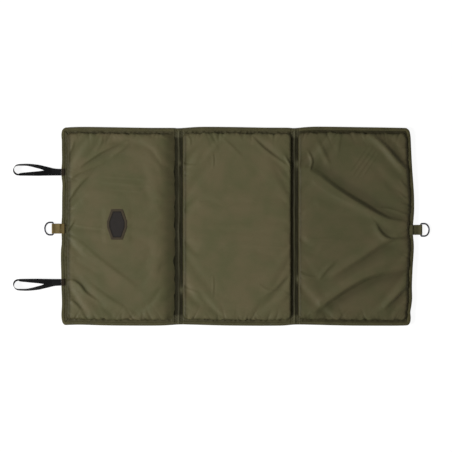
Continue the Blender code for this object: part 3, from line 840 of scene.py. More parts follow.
@dataclass
class Pad:
    """One stuffed panel between its seams: the face cover, the base cover and the foam in them.

    Attributes:
        low, high: X of the seams at its two ends.
        low_run, high_run, hem_run: How far its sides run in from the seams before they are level.
        notches: Columns of the photo where the hems' seams are drawn in.
        long_slope: Whether the side at its high X end is a long slope, not a rounded one.
        rise, crown: Height of its sides over the seam, and of its middle over them.
        low_gather, high_gather: How strong the puckers at its two ends are.
        badge: Whether the badge is glued to it.
        spacing, side_steps: Step between the grid's lines, and how many lines a side has.
        corner: Radius of the seam's corners.
        knee, knee_sharpness: Where a long slope levels out, as a share of its run, and how sharply.
        fold_room, fold_slope: The face's highest rise over the seam at a fold, and how it grows.
        soft_stop: How far below that height the face starts to be held down.
    """

    name: str
    body: str
    low: float
    high: float
    low_run: float
    high_run: float
    folds: tuple[Fold, ...]
    notches: tuple[float, ...]
    seed: int
    long_slope: bool = False
    swelling: Swelling = Swelling()
    shade_painting: ShadePainting = ShadePainting()
    low_gather: float = 0.4
    high_gather: float = 0.4
    badge: bool = False
    hem_run: float = 7.5 * MM
    rise: float = 7.6 * MM
    crown: float = 1.3 * MM
    spacing: float = 5 * MM
    side_steps: int = 5
    corner: float = 15 * MM
    knee: float = 0.8
    knee_sharpness: float = 14.0
    seam_sharpness: float = 0.9
    face_start: float = 4 * MM
    badge_fade: float = 18 * MM
    badge_seat: float = 0.1 * MM
    notch_depth: float = 2.6
    notch_width: float = 4.5 * MM
    wander_reach: float = 9 * MM
    fold_room: float = 9.15 * MM
    fold_slope: float = 0.034
    soft_stop: float = 0.6 * MM
    piece: bpy.types.Object = field(init=False)

    def lines(self, low: float, high: float, low_run: float, high_run: float) -> np.ndarray:
        """Places the grid's lines, closer together on the rounded sides."""
        turn = RIGHT_ANGLE * np.arange(self.side_steps + 1) / self.side_steps
        side = 1 - np.cos(turn)
        count = max(2, round((high - low - low_run - high_run) / self.spacing))
        inner = np.linspace(low + low_run, high - high_run, count + 1)[1:-1]
        return np.concatenate([low + low_run * side, inner, high - high_run * side[::-1]])

    def share(self, plan: np.ndarray) -> np.ndarray:
        """Gives the share of the full rise that the sides have reached at points in plan."""
        rim = LAYOUT.hem_y
        total = np.ones(len(plan))
        for distance, run, sloped in (
            (plan[:, 0] - self.low, self.low_run, False),
            (self.high - plan[:, 0], self.high_run, self.long_slope),
            (rim - np.abs(plan[:, 1]), self.hem_run, False),
        ):
            inside = np.clip(distance / run, 0, 1)
            if sloped:
                sharp = self.knee_sharpness
                even = 1 - np.logaddexp(0, sharp * (self.knee - inside)) / sharp / self.knee
                total *= np.clip((even - even.min()) / (1 - even.min()), 0, 1)
            else:
                total *= np.sqrt(np.clip(1 - (1 - inside) ** 2, 0, 1))
        return total

    def rounded(self, plan: np.ndarray) -> np.ndarray:
        """Turns the square corners of the seam into round ones."""
        out = plan.copy()
        for sign_x, edge in ((-1, self.low), (1, self.high)):
            for sign_y in (-1, 1):
                x = self.corner - sign_x * (edge - plan[:, 0])
                y = self.corner - (LAYOUT.hem_y - sign_y * plan[:, 1])
                inside = (x > 0) & (y > 0)
                ratio = np.maximum(x, y) / np.maximum(np.hypot(x, y), TINY)
                out[inside, 0] = (edge - sign_x * (self.corner - x * ratio))[inside]
                out[inside, 1] = (sign_y * (LAYOUT.hem_y - self.corner + y * ratio))[inside]
        return out

    def crown_share(self, plan: np.ndarray) -> np.ndarray:
        """Gives the share of the crown at points in plan."""
        across = (plan[:, 0] - (self.low + self.high) / 2) / ((self.high - self.low) / 2)
        along = plan[:, 1] / LAYOUT.hem_y
        return np.clip(1 - across**2, 0, 1) * np.clip(1 - along**2, 0, 1)

    def shell(self, finishes: Finishes) -> bpy.types.Object:
        """Makes the closed cover: a face grid and a base grid that share the seam."""
        xs = self.lines(self.low, self.high, self.low_run, self.high_run)
        ys = self.lines(-LAYOUT.hem_y, LAYOUT.hem_y, self.hem_run, self.hem_run)
        grid_x, grid_y = np.meshgrid(xs, ys, indexing="ij")
        plan = np.column_stack([grid_x.ravel(), grid_y.ravel()])
        share = self.share(plan)
        placed = self.rounded(plan)
        top = LAYOUT.seam_z + share * self.rise + self.crown_share(plan) * self.crown
        base = LAYOUT.seam_z * (1 - share)
        points = np.vstack([np.column_stack([placed, top]), np.column_stack([placed, base])])
        face = np.arange(grid_x.size).reshape(grid_x.shape)
        under = face.copy()
        under[1:-1, 1:-1] += grid_x.size
        faces = []
        for i in range(len(xs) - 1):
            for j in range(len(ys) - 1):
                faces.append((face[i, j], face[i + 1, j], face[i + 1, j + 1], face[i, j + 1]))
                faces.append((under[i, j], under[i, j + 1], under[i + 1, j + 1], under[i + 1, j]))
        piece = new_piece(f"{self.name}_pad", points, faces, [finishes.cover, finishes.base])
        for number, polygon in enumerate(piece.data.polygons):
            polygon.material_index = number % 2
        with edited(piece.data) as bm:
            loose = [vertex for vertex in bm.verts if not vertex.link_faces]
            bmesh.ops.delete(bm, geom=loose, context="VERTS")
            sharpness = bm.edges.layers.float.new("crease_edge")
            for edge in bm.edges:
                if len({polygon.material_index for polygon in edge.link_faces}) > 1:
                    edge[sharpness] = self.seam_sharpness
        return piece

    def refine(self) -> None:
        """Splits the mesh once so that it can hold the fine folds."""
        smooth = self.piece.modifiers.new("smooth", "SUBSURF")
        smooth.levels = smooth.render_levels = 1
        graph = bpy.context.evaluated_depsgraph_get()
        mesh = bpy.data.meshes.new_from_object(self.piece.evaluated_get(graph))
        self.piece.modifiers.clear()
        old = self.piece.data
        self.piece.data = mesh
        bpy.data.meshes.remove(old)

    def gathers(self, points: np.ndarray) -> np.ndarray:
        """Gives the lift of the puckers along the four seams."""
        x, y = points[:, 0], points[:, 1]
        rim = LAYOUT.hem_y
        sides = (
            (x, rim - y, 1.0),
            (x, rim + y, 1.0),
            (y, x - self.low, self.low_gather),
            (y, self.high - x, self.high_gather),
        )
        total = np.zeros(len(points))
        for number, (along, inward, strength) in enumerate(sides):
            total += strength * Gathers(self.seed + number).lift(along, inward)
        return total

    def crease(self) -> None:
        """Moves the face up and down into its folds and puckers, within the room for folding."""
        points = get_co(self.piece)
        upper = soft_step((points[:, 2] - LAYOUT.seam_z) / self.face_start)
        lift = self.gathers(points)
        for fold in self.folds:
            lift += fold.lift(points[:, :2])
        points[:, 2] += lift * upper
        self.painted_shade(points, lift)
        if self.badge:
            self.flatten_under_badge(points)
        distance = self.fold_distance(points[:, 0])
        ceiling = LAYOUT.seam_z + self.fold_room + self.fold_slope * np.maximum(distance, 0)
        stop = ceiling - self.soft_stop
        over = np.maximum(points[:, 2] - stop, 0)
        held = stop + self.soft_stop * np.tanh(over / self.soft_stop)
        points[:, 2] = np.maximum(np.where(over > 0, held, points[:, 2]), 0)
        points[:, 0] = np.clip(points[:, 0], self.low, self.high)
        points[:, 1] = self.wandered(points)
        set_co(self.piece, OUTLINE.moved(points))

    def flatten_under_badge(self, points: np.ndarray) -> None:
        """Levels the face where the badge is glued down, in place."""
        low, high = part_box("badge")
        centre, half = (low + high) / 2, (high - low) / 2
        beyond = np.hypot(
            np.maximum(np.abs(points[:, 0] - centre.x) - half.x, 0),
            np.maximum(np.abs(points[:, 1] - centre.y) - half.y, 0),
        )
        on_face = points[:, 2] > LAYOUT.seam_z + self.face_start / 2
        share = soft_step(1 - beyond / self.badge_fade) * on_face
        points[:, 2] += share * (low.z + self.badge_seat - points[:, 2])

    def painted_shade(self, points: np.ndarray, lift: np.ndarray) -> None:
        """Paints shade on the cover towards its seams and in its creases, where its lift is less
        than 0.
        """
        shade_painting = self.shade_painting
        x, y = points[:, 0], points[:, 1]
        patchy = 0.5 + sine(x, 0.5, 190, self.seed) * sine(x, 1, 71, 23 * y + 2 * self.seed)
        total = shade_painting.floor + shade_painting.crease * np.clip(-lift / shade_painting.full_crease, 0, 1)
        for inward, strength in (
            (x - self.low, shade_painting.low),
            (self.high - x, shade_painting.high),
            (LAYOUT.hem_y - np.abs(y), shade_painting.hem * patchy),
        ):
            total += strength * bell(np.maximum(inward, 0), shade_painting.reach)
        if self.long_slope:
            down = 1 - (self.high - x) / self.high_run
            total += shade_painting.slope * soft_step(shade_painting.slope_rate * down)
        margin = shade_painting.low_shade * bell(x, shade_painting.reach, self.low)
        set_painted_shade(self.piece, shade_painting.most * np.clip(total, 0, 1) + margin)

    def wandered(self, points: np.ndarray) -> np.ndarray:
        """Lets the seams along the hems wander, drawn in at the notches between the gathers."""
        x, y = points[:, 0], points[:, 1].copy()
        for sign in (-1, 1):
            inward = np.maximum(LAYOUT.hem_y - sign * y, 0)
            near = np.exp(-inward / self.wander_reach) * (sign * y > 0)
            phase = self.seed + sign
            wave = 1 + sine(x, 0.9, 83, phase) + sine(x, 0.8, 197, 2.3 * phase)
            for notch in self.notches:
                wave += self.notch_depth * bell(x, self.notch_width, GRID.place(notch, 0)[0])
            y -= sign * near * wave * MM
        return y

    def fold_distance(self, x: np.ndarray) -> np.ndarray:
        """Gives each place's distance from the nearest fold line of this panel."""
        if self.body == "middle":
            return LAYOUT.inner_fold - np.abs(x)
        return np.abs(x) - LAYOUT.outer_fold

    def build(self, finishes: Finishes) -> None:
        """Makes the pad and puts it on its body."""
        self.piece = self.shell(finishes)
        self.swelling.run(self.piece, self.share(get_co(self.piece)))
        self.refine()
        self.crease()
        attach(self.piece, self.body)
        nodes = [f"{self.name}_{layer}" for layer in ("top_cover", "foam_core", "base_cover")]
        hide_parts(*nodes)
        LOG.info("%s: %d faces", self.piece.name, len(self.piece.data.polygons))


def on_sheet(plan: np.ndarray, height: np.ndarray | float) -> np.ndarray:
    """Lays a line in plan on the flat sewn cloth.

    The cloth's edge wanders, and it rises and falls slowly, alike for every piece that lies on it.

    Args:
        plan: X and Y of the line's points, one a row.
        height: Height of the line, or of each of its points, over the seam.

    Returns:
        The line's points.
    """
    line = OUTLINE.moved(np.column_stack([plan, np.full(len(plan), LAYOUT.seam_z)]))
    x, y = line[:, 0], line[:, 1]
    wave = sine(x, 0.35, 61, 1.3) * sine(y, 1, 47, 0.4) + sine(x, 0.25, 131, 113 * y)
    line[:, 2] += wave * MM + height
    return line


@dataclass
class EdgeRun:
    """A stretch of the mat's edge, as points with the distance in from the edge as a variable."""

    corners: tuple[tuple[float, float], ...]
    step: float = 4 * MM
    corner_steps: int = 8

    def stations(self) -> np.ndarray:
        """Gives the points of the cut edge, closer together round the corners."""
        turns = [np.array(corner) for corner in self.corners]
        found = turns[:1]
        radius = LAYOUT.corner
        for index in range(1, len(turns)):
            start, end = found[-1], turns[index]
            direction = (end - start) / np.linalg.norm(end - start)
            last = index == len(turns) - 1
            stop = end if last else end - direction * radius
            count = max(1, round(np.linalg.norm(stop - start) / self.step))
            found += [start + (stop - start) * k / count for k in range(1, count + 1)]
            if not last:
                following = turns[index + 1] - end
                following = following / np.linalg.norm(following)
                centre = stop + following * radius
                for k in range(1, self.corner_steps + 1):
                    angle = RIGHT_ANGLE * k / self.corner_steps
                    back, out = radius * math.cos(angle), radius * math.sin(angle)
                    found.append(centre - following * back + direction * out)
        return np.array(found)

    def inside(self, depth: float) -> np.ndarray:
        """Gives the line that lies a distance in from the cut edge."""
        edge = self.stations()
        radius = LAYOUT.corner
        limit = np.array([LAYOUT.end_x, LAYOUT.back_y])
        core = np.clip(edge, -(limit - radius), limit - radius)
        if depth <= radius:
            return core + (edge - core) * (radius - depth) / radius
        return np.clip(core, -(limit - depth), limit - depth)


def end_run(side: int) -> EdgeRun:
    """Gives the edge round the three free sides of an outer panel."""
    start = side * (LAYOUT.outer_fold + LAYOUT.bend_half)
    end, back = side * LAYOUT.end_x, LAYOUT.back_y
    return EdgeRun(((start, -back), (end, -back), (end, back), (start, back)))


def straight_run(low: float, high: float, side: int) -> EdgeRun:
    """Gives a stretch of the front edge, or with side 1 of the back edge."""
    return EdgeRun(((low, side * LAYOUT.back_y), (high, side * LAYOUT.back_y)), 2.5 * MM)


@dataclass
class EdgeTape:
    """Grosgrain tape folded over the mat's edge.

    Attributes:
        width: Width of the tape on either face of the mat.
        lip, lip_edge: Height of its edge, and of the edge's underside as a share of that.
        shoulder, shoulder_share: Width of its bevel, and height as a share of the tape's.
        flat_shares: Places of its points across, as shares of its width.
        roll_start, roll_steps: Angle at which it turns round the mat's edge, and points there.
    """

    name: str
    run: EdgeRun
    width: float = 10 * MM
    lip: float = 0.9 * MM
    lip_edge: float = 0.4
    shoulder: float = 1.0 * MM
    shoulder_share: float = 0.92
    flat_shares: tuple[float, ...] = (0.72, 0.5, 0.32)
    roll_start: float = 0.15
    roll_steps: int = 9

    def section(self) -> list[tuple[float, float]]:
        """Gives the tape's section, as distance in from the edge and height from the seam."""
        half = LAYOUT.tape_half
        top = [
            (self.width, self.lip * self.lip_edge),
            (self.width, self.lip),
            (self.width - self.shoulder, half * self.shoulder_share),
            *((self.width * share, half) for share in self.flat_shares),
        ]
        turn = [
            (half - half * math.sin(angle), half * math.cos(angle))
            for angle in np.linspace(self.roll_start, math.pi - self.roll_start, self.roll_steps)
        ]
        return top + turn + [(depth, -height) for depth, height in reversed(top)]

    def build(self, finishes: Finishes) -> bpy.types.Object:
        """Makes the tape."""
        lines = [on_sheet(self.run.inside(depth), height) for depth, height in self.section()]
        return loft(self.name, np.array(lines).transpose(1, 0, 2), finishes.tape)


@dataclass
class Hem:
    """The flat double layer of cover between the edge tape and the pad, gathered into the seam.

    Attributes:
        painted_shade: Painted shade that the hem has everywhere.
        dark, dark_row, dark_rows: More painted shade round a row of the grid, and how many rows it
            spans.
        depths: Distances in from the edge at which the hem has its lines.
        half: Half of its thickness.
        gather_start, gather_fade, shade_fade: Where the gathers start, and over what distance they
        and their painted shade reach their full strength.
        face_lift, back_lift: How far the gathers lift the hem's face and its underside.
        seam_shade, pucker_shade: Painted shade beside the seam and in the gathers.
    """

    name: str
    run: EdgeRun
    seed: int
    painted_shade: float
    dark: float
    dark_row: float = 155.0
    dark_rows: float = 22.0
    depths: tuple[float, ...] = tuple(
        depth * MM for depth in (1.2, 5, 8.5, 10, 11.5, 13, 14.5, 16, 20, 25)
    )
    half: float = 0.75 * MM
    gather_start: float = 9 * MM
    gather_fade: float = 6 * MM
    shade_fade: float = 5 * MM
    face_lift: float = 0.9
    back_lift: float = 0.3
    seam_shade: float = 0.3
    pucker_shade: float = 0.6

    def build(self, finishes: Finishes) -> bpy.types.Object:
        """Makes the hem."""
        edge = self.run.inside(self.depths[-1])
        along = length_along(self.run.stations())
        gathers = Gathers(
            self.seed, depth=(0.7 * MM, 2.2 * MM), width=(1.8 * MM, 4.5 * MM),
            reach=(3 * MM, 8 * MM),
        )
        rows = GRID.middle_v - edge[:, 1] / GRID.metres_per_pixel
        # Painted shade along the whole hem, and more round one stretch of rows.
        floor = self.painted_shade + self.dark * bell(rows, self.dark_rows, self.dark_row)
        upper, lower, painted_shades = [], [], []
        for depth in self.depths:
            plan = self.run.inside(depth)
            inward = np.full(len(edge), LAYOUT.hem - depth)
            past = depth - self.gather_start
            lift = gathers.lift(along, inward) * soft_step(past / self.gather_fade)
            upper.append(on_sheet(plan, self.half - lift * self.face_lift))
            lower.append(on_sheet(plan, -self.half - lift * self.back_lift))
            pucker = np.clip(-gathers.lift(along, np.maximum(inward, 0)) / MM, 0, 1)
            near = np.clip(past / self.shade_fade, 0, 1)
            painted_shades.append(floor + near * (self.seam_shade + self.pucker_shade * pucker))
        rings = np.array(upper + lower[::-1]).transpose(1, 0, 2)
        piece = loft(self.name, rings, finishes.hem)
        set_painted_shade(piece, np.array(painted_shades + painted_shades[::-1]).T.ravel())
        return piece


@dataclass
class Sided:
    """A piece that the mat has at its left, side -1, and at its right, side 1."""

    side: int

    @property
    def name(self) -> str:
        """The side's name."""
        return "left" if self.side < 0 else "right"


@dataclass
class FoldCloth(Sided):
    """One fold's strip between its two stitch lines, and the cloth that bends at each of them.

    Attributes:
        half: Half of the cloth's thickness.
        welt, welt_width: Height and width of the strip's raised middle.
        wander, ripple: How far the strip wanders across, and how high its ripples are.
        flange: Width of the cloth that runs on under each pad.
        end_gap: How far the cloth stops short of the mat's edge, inside the tape.
        tacks: Where the pads' covers bunch over the strip: the row of the photo, how many rows
            the bunch spans, its distance from the mat's middle and its half width.
        end_y, end_fade, end_bunch: Where the covers start to bunch at the strip's ends, over what
            distance, and by how much at least and more.
        bunch_rise, bunch_pale: How high a full bunch stands, and how much paler painted light makes
            it.
        unshaded_width: Width of the strip's middle that has no painted shade.
        count: How many points the strip has along.
    """

    half: float = 0.75 * MM
    welt: float = 1.3 * MM
    welt_width: float = 2.6 * MM
    wander: float = 0.7 * MM
    ripple: float = 0.25 * MM
    flange: float = 14 * MM
    end_gap: float = 1.2 * MM
    end_y: float = 262 * MM
    end_fade: float = 9 * MM
    end_bunch: tuple[float, float] = (0.25, 0.6)
    bunch_rise: float = 0.9 * MM
    bunch_pale: float = 1.9
    unshaded_width: float = 3.2 * MM
    count: int = 300

    @property
    def tacks(self) -> tuple[tuple[float, float, float, float], ...]:
        """The places where the covers bunch over this side's strip."""
        if self.side < 0:
            return ((290.0, 3.4, 165.5 * MM, 4.5 * MM), (163.0, 2.5, 170 * MM, 3 * MM))
        return ((164.0, 3.6, 178.5 * MM, 6.5 * MM), (279.5, 4.0, 180.5 * MM, 5 * MM))

    def bunching(self, ys: np.ndarray, distance: float) -> np.ndarray:
        """Gives the share of bunched, paler cover at places on the strip."""
        rows = GRID.middle_v - ys / GRID.metres_per_pixel
        total = np.zeros(len(ys))
        for row, spread, place, width in self.tacks:
            total += bell(rows, spread, row) * bell(distance, width, place)
        lumps = 0.5 + sine(ys, 0.5, 640, 900 * distance) * sine(ys, 1, -210, 1500 * distance)
        least, more = self.end_bunch
        total += soft_step((np.abs(ys) - self.end_y) / self.end_fade) * (least + more * lumps)
        return np.clip(total, 0, 1)

    def strip(
        self, name: str, low: float, high: float, finishes: Finishes, lines: int
    ) -> bpy.types.Object:
        """Makes a strip of the cloth between two distances from the mat's middle.

        Args:
            name: The piece's name.
            low: Distance of its inner edge.
            high: Distance of its outer edge.
            finishes: The mat's materials.
            lines: How many lines the strip has across.

        Returns:
            The strip.
        """
        ys = np.linspace(self.end_gap - LAYOUT.back_y, LAYOUT.back_y - self.end_gap, self.count)
        middle = (LAYOUT.inner_fold + LAYOUT.outer_fold) / 2
        half_width = (LAYOUT.outer_fold - LAYOUT.inner_fold) / 2
        drift = sine(ys, 1.6 * MM, 23, self.side) + sine(ys, 0.8 * MM, 61)
        ripple = sine(ys, self.ripple, 260, sine(ys, 2, 37))
        upper, lower, painted_shades = [], [], []
        for distance in np.linspace(low, high, lines):
            across = np.clip(1 - abs(distance - middle) / half_width, 0, 1)
            bunch = self.bunching(ys, distance)
            line = on_sheet(np.column_stack([np.full(len(ys), self.side * distance), ys]), 0.0)
            line[:, 0] += sine(ys, self.wander, 71, self.side) * across
            rise = self.half + self.welt * bell(distance, self.welt_width, middle)
            rise = rise + ripple * across + self.bunch_rise * bunch * across**2
            upper.append(line + rise[:, None] * UP)
            lower.append(line - self.half * UP)
            # Painted shade darkens the strip away from its middle, and painted light makes the
            # bunches paler.
            painted_shade = 1 - bell(distance + drift, self.unshaded_width, middle)
            painted_shades.append(painted_shade * (1 - bunch) - self.bunch_pale * bunch)
        rings = np.array(upper + lower[::-1]).transpose(1, 0, 2)
        piece = loft(name, rings, finishes.web)
        set_painted_shade(piece, np.array(painted_shades + painted_shades[::-1]).T.ravel())
        return piece

    def tape(
        self, name: str, low: float, high: float, sign: int, finishes: Finishes
    ) -> bpy.types.Object:
        """Makes the tape over the cloth's front end, or with sign 1 its back end."""
        ends = sorted((self.side * low, self.side * high))
        return EdgeTape(name, straight_run(*ends, sign)).build(finishes)

    def build(self, finishes: Finishes) -> list[bpy.types.Object]:
        """Makes the strip, its two bends and the tape over their ends, on their bodies."""
        name, bend = self.name, LAYOUT.bend_half
        inner, outer = LAYOUT.inner_fold, LAYOUT.outer_fold
        web, panel = f"{name}_web", f"{name}_panel"
        strip = self.strip(f"{name}_fold_strip", inner + bend, outer - bend, finishes, lines=15)
        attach(strip, web)
        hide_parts(f"{name}_fold_web")
        made = [strip]
        for place, fold, bodies, outwards in (
            ("inner", inner, ("middle", web), -1),
            ("outer", outer, (web, panel), 1),
        ):
            cloth = self.strip(f"{name}_{place}_bend", fold - bend, fold + bend, finishes, lines=6)
            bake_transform(cloth)
            seam = fold + outwards * bend
            low, high = sorted((seam, seam + outwards * self.flange))
            flange = self.strip(f"{name}_{place}_flange", low, high, finishes, lines=4)
            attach(flange, bodies[0] if outwards < 0 else bodies[1])
            for piece in (cloth, flange):
                made.append(piece)
            for edge, sign in LONG_EDGES:
                label = f"{name}_{place}_{edge}_tape_bend"
                tape = self.tape(label, fold - bend, fold + bend, sign, finishes)
                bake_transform(tape)
                made.append(tape)
        for edge, sign in LONG_EDGES:
            label = f"{name}_fold_{edge}_tape"
            tape = self.tape(label, inner + bend, outer - bend, sign, finishes)
            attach(tape, web)
            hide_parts(f"{name}_fold_{edge}_binding")
            made.append(tape)
        return made


def ribbon_rings(
    centres: np.ndarray, sides: np.ndarray, normals: np.ndarray, width: float, thickness: float
) -> np.ndarray:
    """Gives the rings of a flat band with rounded edges, from unit vectors across and out of it."""
    edge = thickness / 2
    flat = width / 2 - edge
    half = [(value, edge) for value in np.linspace(-flat, flat, 7)]
    half += [(flat + edge * math.cos(a), edge * math.sin(a)) for a in (0.8, 0.0, -0.8)]
    outline = np.array(half + [(-x, -y) for x, y in half])
    across, out = outline[None, :, :1], outline[None, :, 1:]
    return centres[:, None] + across * sides[:, None] + out * normals[:, None]


def add_bead(piece: bpy.types.Object, root: np.ndarray, width: float, radius: float) -> None:
    """Adds the round root, along Y, on which a loop or tab swings, to its mesh."""
    place = Matrix.Translation(Vector(root)) @ Matrix.Rotation(RIGHT_ANGLE, 4, "X")
    with edited(piece.data) as bm:
        made = bmesh.ops.create_cone(
            bm, cap_ends=True, segments=20, radius1=radius, radius2=radius, depth=width,
            matrix=place,
        )
        edges = {edge for vertex in made["verts"] for edge in vertex.link_edges}
        rims = [edge for edge in edges if edge.calc_face_angle(0) > 1]
        bmesh.ops.bevel(bm, geom=rims, offset=radius / 3, segments=2, affect="EDGES")
        for face in bm.faces:
            face.smooth = True


@dataclass
class ElasticLoop:
    """A loop of flat elastic that leaves the mat lying flat and stands on edge round its far end.

    Attributes:
        mirror: 1, or -1 for a loop that lies the other way round in Y.
        width, thickness: The elastic's section.
        reach: Distance from the root to the tip.
        spread: Width of the open eye, which the shares of Y go by.
        stack: Half of the distance between its two layers at the root.
        neck: Distance from the root to where the layers part.
        bead: Radius of the root.
        station_shares: The line's stations from root to end. Each gives its share of the neck and
            of the eye beyond it, and then for the straight strand and for the bowed one its Y,
            how flat it still lies and how far it is off the middle layer.
        end_share, end_middle_share, end_twist_share, end_steps: Place of the round end's centre in
            X and in Y, how far the elastic stands on edge there, and the steps round it.
    """

    name: str
    mirror: int
    width: float = 20 * MM
    thickness: float = 1.3 * MM
    reach: float = 140.5 * MM
    spread: float = 29 * MM
    stack: float = 0.8 * MM
    neck: float = 66.5 * MM
    bead: float = 1.45 * MM
    station_shares: tuple[tuple[float, ...], ...] = (
        (0.0, 0.0, 0.0, 0.0, 1.0, 0.0, 0.0, 1.0),
        (0.332, 0.0, -0.02, 0.17, 1.0, 0.072, 0.17, 1.0),
        (0.723, 0.0, -0.083, 0.40, 0.4, 0.40, 0.57, 0.4),
        (1.0, 0.0, -0.134, 0.51, 0.0, 0.576, 0.64, 0.0),
        (1.0, 0.402, -0.176, 0.64, 0.0, 0.752, 0.79, 0.0),
        (1.0, 0.723, -0.217, 0.74, 0.0, 0.762, 0.84, 0.0),
    )
    end_share: float = 0.8045
    end_middle_share: float = 0.2505
    end_twist_share: float = 0.86
    end_steps: int = 18

    def stations(self) -> np.ndarray:
        """Gives the loop's line from its root round and back, as X, Y, Z and twist."""
        straight, bowed = [], []
        eye = self.reach - self.neck
        for necks, eyes, *shares in self.station_shares:
            x = -necks * self.neck - eyes * eye
            for strand, sign, (y, twist, layer) in (
                (straight, 1, shares[:3]), (bowed, -1, shares[3:]),
            ):
                place = (x, self.mirror * y * self.spread, sign * layer * self.stack)
                strand.append((*place, sign * self.mirror * (twist - 1)))
        centre_x = -self.neck - self.end_share * eye
        depth = self.reach + centre_x
        end = []
        for step in range(self.end_steps + 1):
            angle = math.pi * step / self.end_steps
            x = centre_x - depth * math.sin(angle)
            y = self.end_middle_share * self.spread - self.spread / 2 * math.cos(angle)
            twist = (self.end_twist_share - 1) * math.cos(angle)
            end.append((x, self.mirror * y, 0.0, self.mirror * twist))
        out = smooth_line(straight + end[:1])[:-1]
        back = smooth_line(end[-1:] + bowed[::-1])[1:]
        return np.vstack([out, end, back])

    def build(self, finishes: Finishes) -> bpy.types.Object:
        """Makes the loop and puts it on its body."""
        root = joint_place(f"{self.name}_swing")
        line = self.stations()
        centres = line[:, :3] + np.array(root)
        tangent = unit(np.gradient(centres, axis=0))
        level = unit(np.cross(tangent, UP))
        upright = np.cross(level, tangent)
        angle = (line[:, 3] * RIGHT_ANGLE)[:, None]
        sides = upright * np.cos(angle) + level * np.sin(angle)
        normals = np.cross(tangent, sides)
        rings = ribbon_rings(centres, sides, normals, self.width, self.thickness)
        piece = loft(f"{self.name}_elastic", rings, finishes.elastic)
        add_bead(piece, np.array(root), self.width, self.bead)
        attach(piece, self.name)
        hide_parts(self.name)
        return piece


@dataclass
class RingTab(Sided):
    """A doubled webbing tab and the D-ring that hangs in its eye.

    Attributes:
        width, thickness: The webbing's section.
        wire: Diameter of the ring's wire.
        ring_width, arm, bow_depth, bend: Width of the ring along its bar, length of its straight
            arms, depth of its round bow, and radius of its corners at the bar.
        seat: Gap between the wire and the webbing.
        bead: Radius of the root.
        root_gap: How far from the root the two layers start.
        throat_eyes: How far before the bar the layers part, in radii of the eye.
        eye_turn: Angle at which the webbing's turn round the bar starts.
    """

    width: float = 30 * MM
    thickness: float = 1.6 * MM
    wire: float = 4.8 * MM
    ring_width: float = 42 * MM
    arm: float = 10 * MM
    bow_depth: float = 14.7 * MM
    bend: float = 3.5 * MM
    seat: float = 0.3 * MM
    bead: float = 1.75 * MM
    root_gap: float = 1.2 * MM
    throat_eyes: float = 2.1
    eye_turn: float = 2.0

    def webbing(self, finishes: Finishes) -> bpy.types.Material:
        """Gives the tab's webbing, with a darker copy at the right end as painted shade."""
        return finishes.webbing if self.side < 0 else finishes.shaded_webbing

    def build_tab(self, finishes: Finishes) -> bpy.types.Object:
        """Makes the webbing: out along the top, round the ring's bar and back underneath."""
        root = np.array(joint_place(f"{self.name}_tab_flex"))
        bar = np.array(joint_place(f"{self.name}_ring_swing"))
        out = bar - root
        reach = np.linalg.norm(out)
        out = out / reach
        across = np.array([0.0, 1.0, 0.0])
        up = np.cross(out, across)
        up = up if up[2] > 0 else -up
        layer = (self.thickness + self.seat) / 2
        eye = self.wire / 2 + self.seat + self.thickness / 2
        throat = reach - self.throat_eyes * eye
        top = [(x, layer) for x in (self.root_gap, throat * 0.5, throat)]
        angles = np.linspace(self.eye_turn, -self.eye_turn, 17)
        turn = [(reach + eye * math.cos(a), eye * math.sin(a)) for a in angles]
        flat = smooth_line(top + turn + [(x, -y) for x, y in reversed(top)], 3)
        centres = root + flat[:, :1] * out + flat[:, 1:2] * up
        tangent = unit(np.gradient(centres, axis=0))
        sides = np.tile(across, (len(centres), 1))
        normals = np.cross(tangent, sides)
        rings = ribbon_rings(centres, sides, normals, self.width, self.thickness)
        piece = loft(f"{self.name}_webbing_tab", rings, self.webbing(finishes))
        add_bead(piece, root, self.width, self.bead)
        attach(piece, f"{self.name}_tab")
        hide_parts(f"{self.name}_tab")
        return piece

    def build_ring(self, finishes: Finishes) -> bpy.types.Object:
        """Makes the ring of round wire, its bar in the tab's eye and its bow on the ground."""
        bar = np.array(joint_place(f"{self.name}_ring_swing"))
        half = (self.ring_width - self.wire) / 2
        corner = [
            (self.bend - self.bend * math.cos(a), half - self.bend + self.bend * math.sin(a))
            for a in np.linspace(0, RIGHT_ANGLE, 7)
        ]
        bow = [
            (self.arm + self.bow_depth * math.cos(a), half * math.sin(a))
            for a in np.linspace(-RIGHT_ANGLE, RIGHT_ANGLE, 33)
        ]
        straight = half - self.bend
        bar_line = [(0, y) for y in np.linspace(straight, -straight, 9)[1:-1]]
        flat = np.array([(x, -y) for x, y in corner] + bow + corner[::-1] + bar_line)
        radius = self.wire / 2
        droop = math.asin((bar[2] - radius) / (self.arm + self.bow_depth))
        centres = bar + np.column_stack([
            self.side * flat[:, 0] * math.cos(droop), flat[:, 1], -flat[:, 0] * math.sin(droop),
        ])
        tangent = unit(np.roll(centres, -1, axis=0) - np.roll(centres, 1, axis=0))
        plane = np.array([self.side * math.sin(droop), 0.0, math.cos(droop)])
        outward = unit(np.cross(tangent, plane))
        angles = np.linspace(0, 2 * math.pi, 16, endpoint=False)[None, :, None]
        round_wire = np.cos(angles) * outward[:, None] + np.sin(angles) * plane
        rings = centres[:, None] + radius * round_wire
        piece = loft(f"{self.name}_ring_wire", rings, finishes.ring, closed=True)
        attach(piece, f"{self.name}_ring")
        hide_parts(f"{self.name}_d_ring")
        return piece


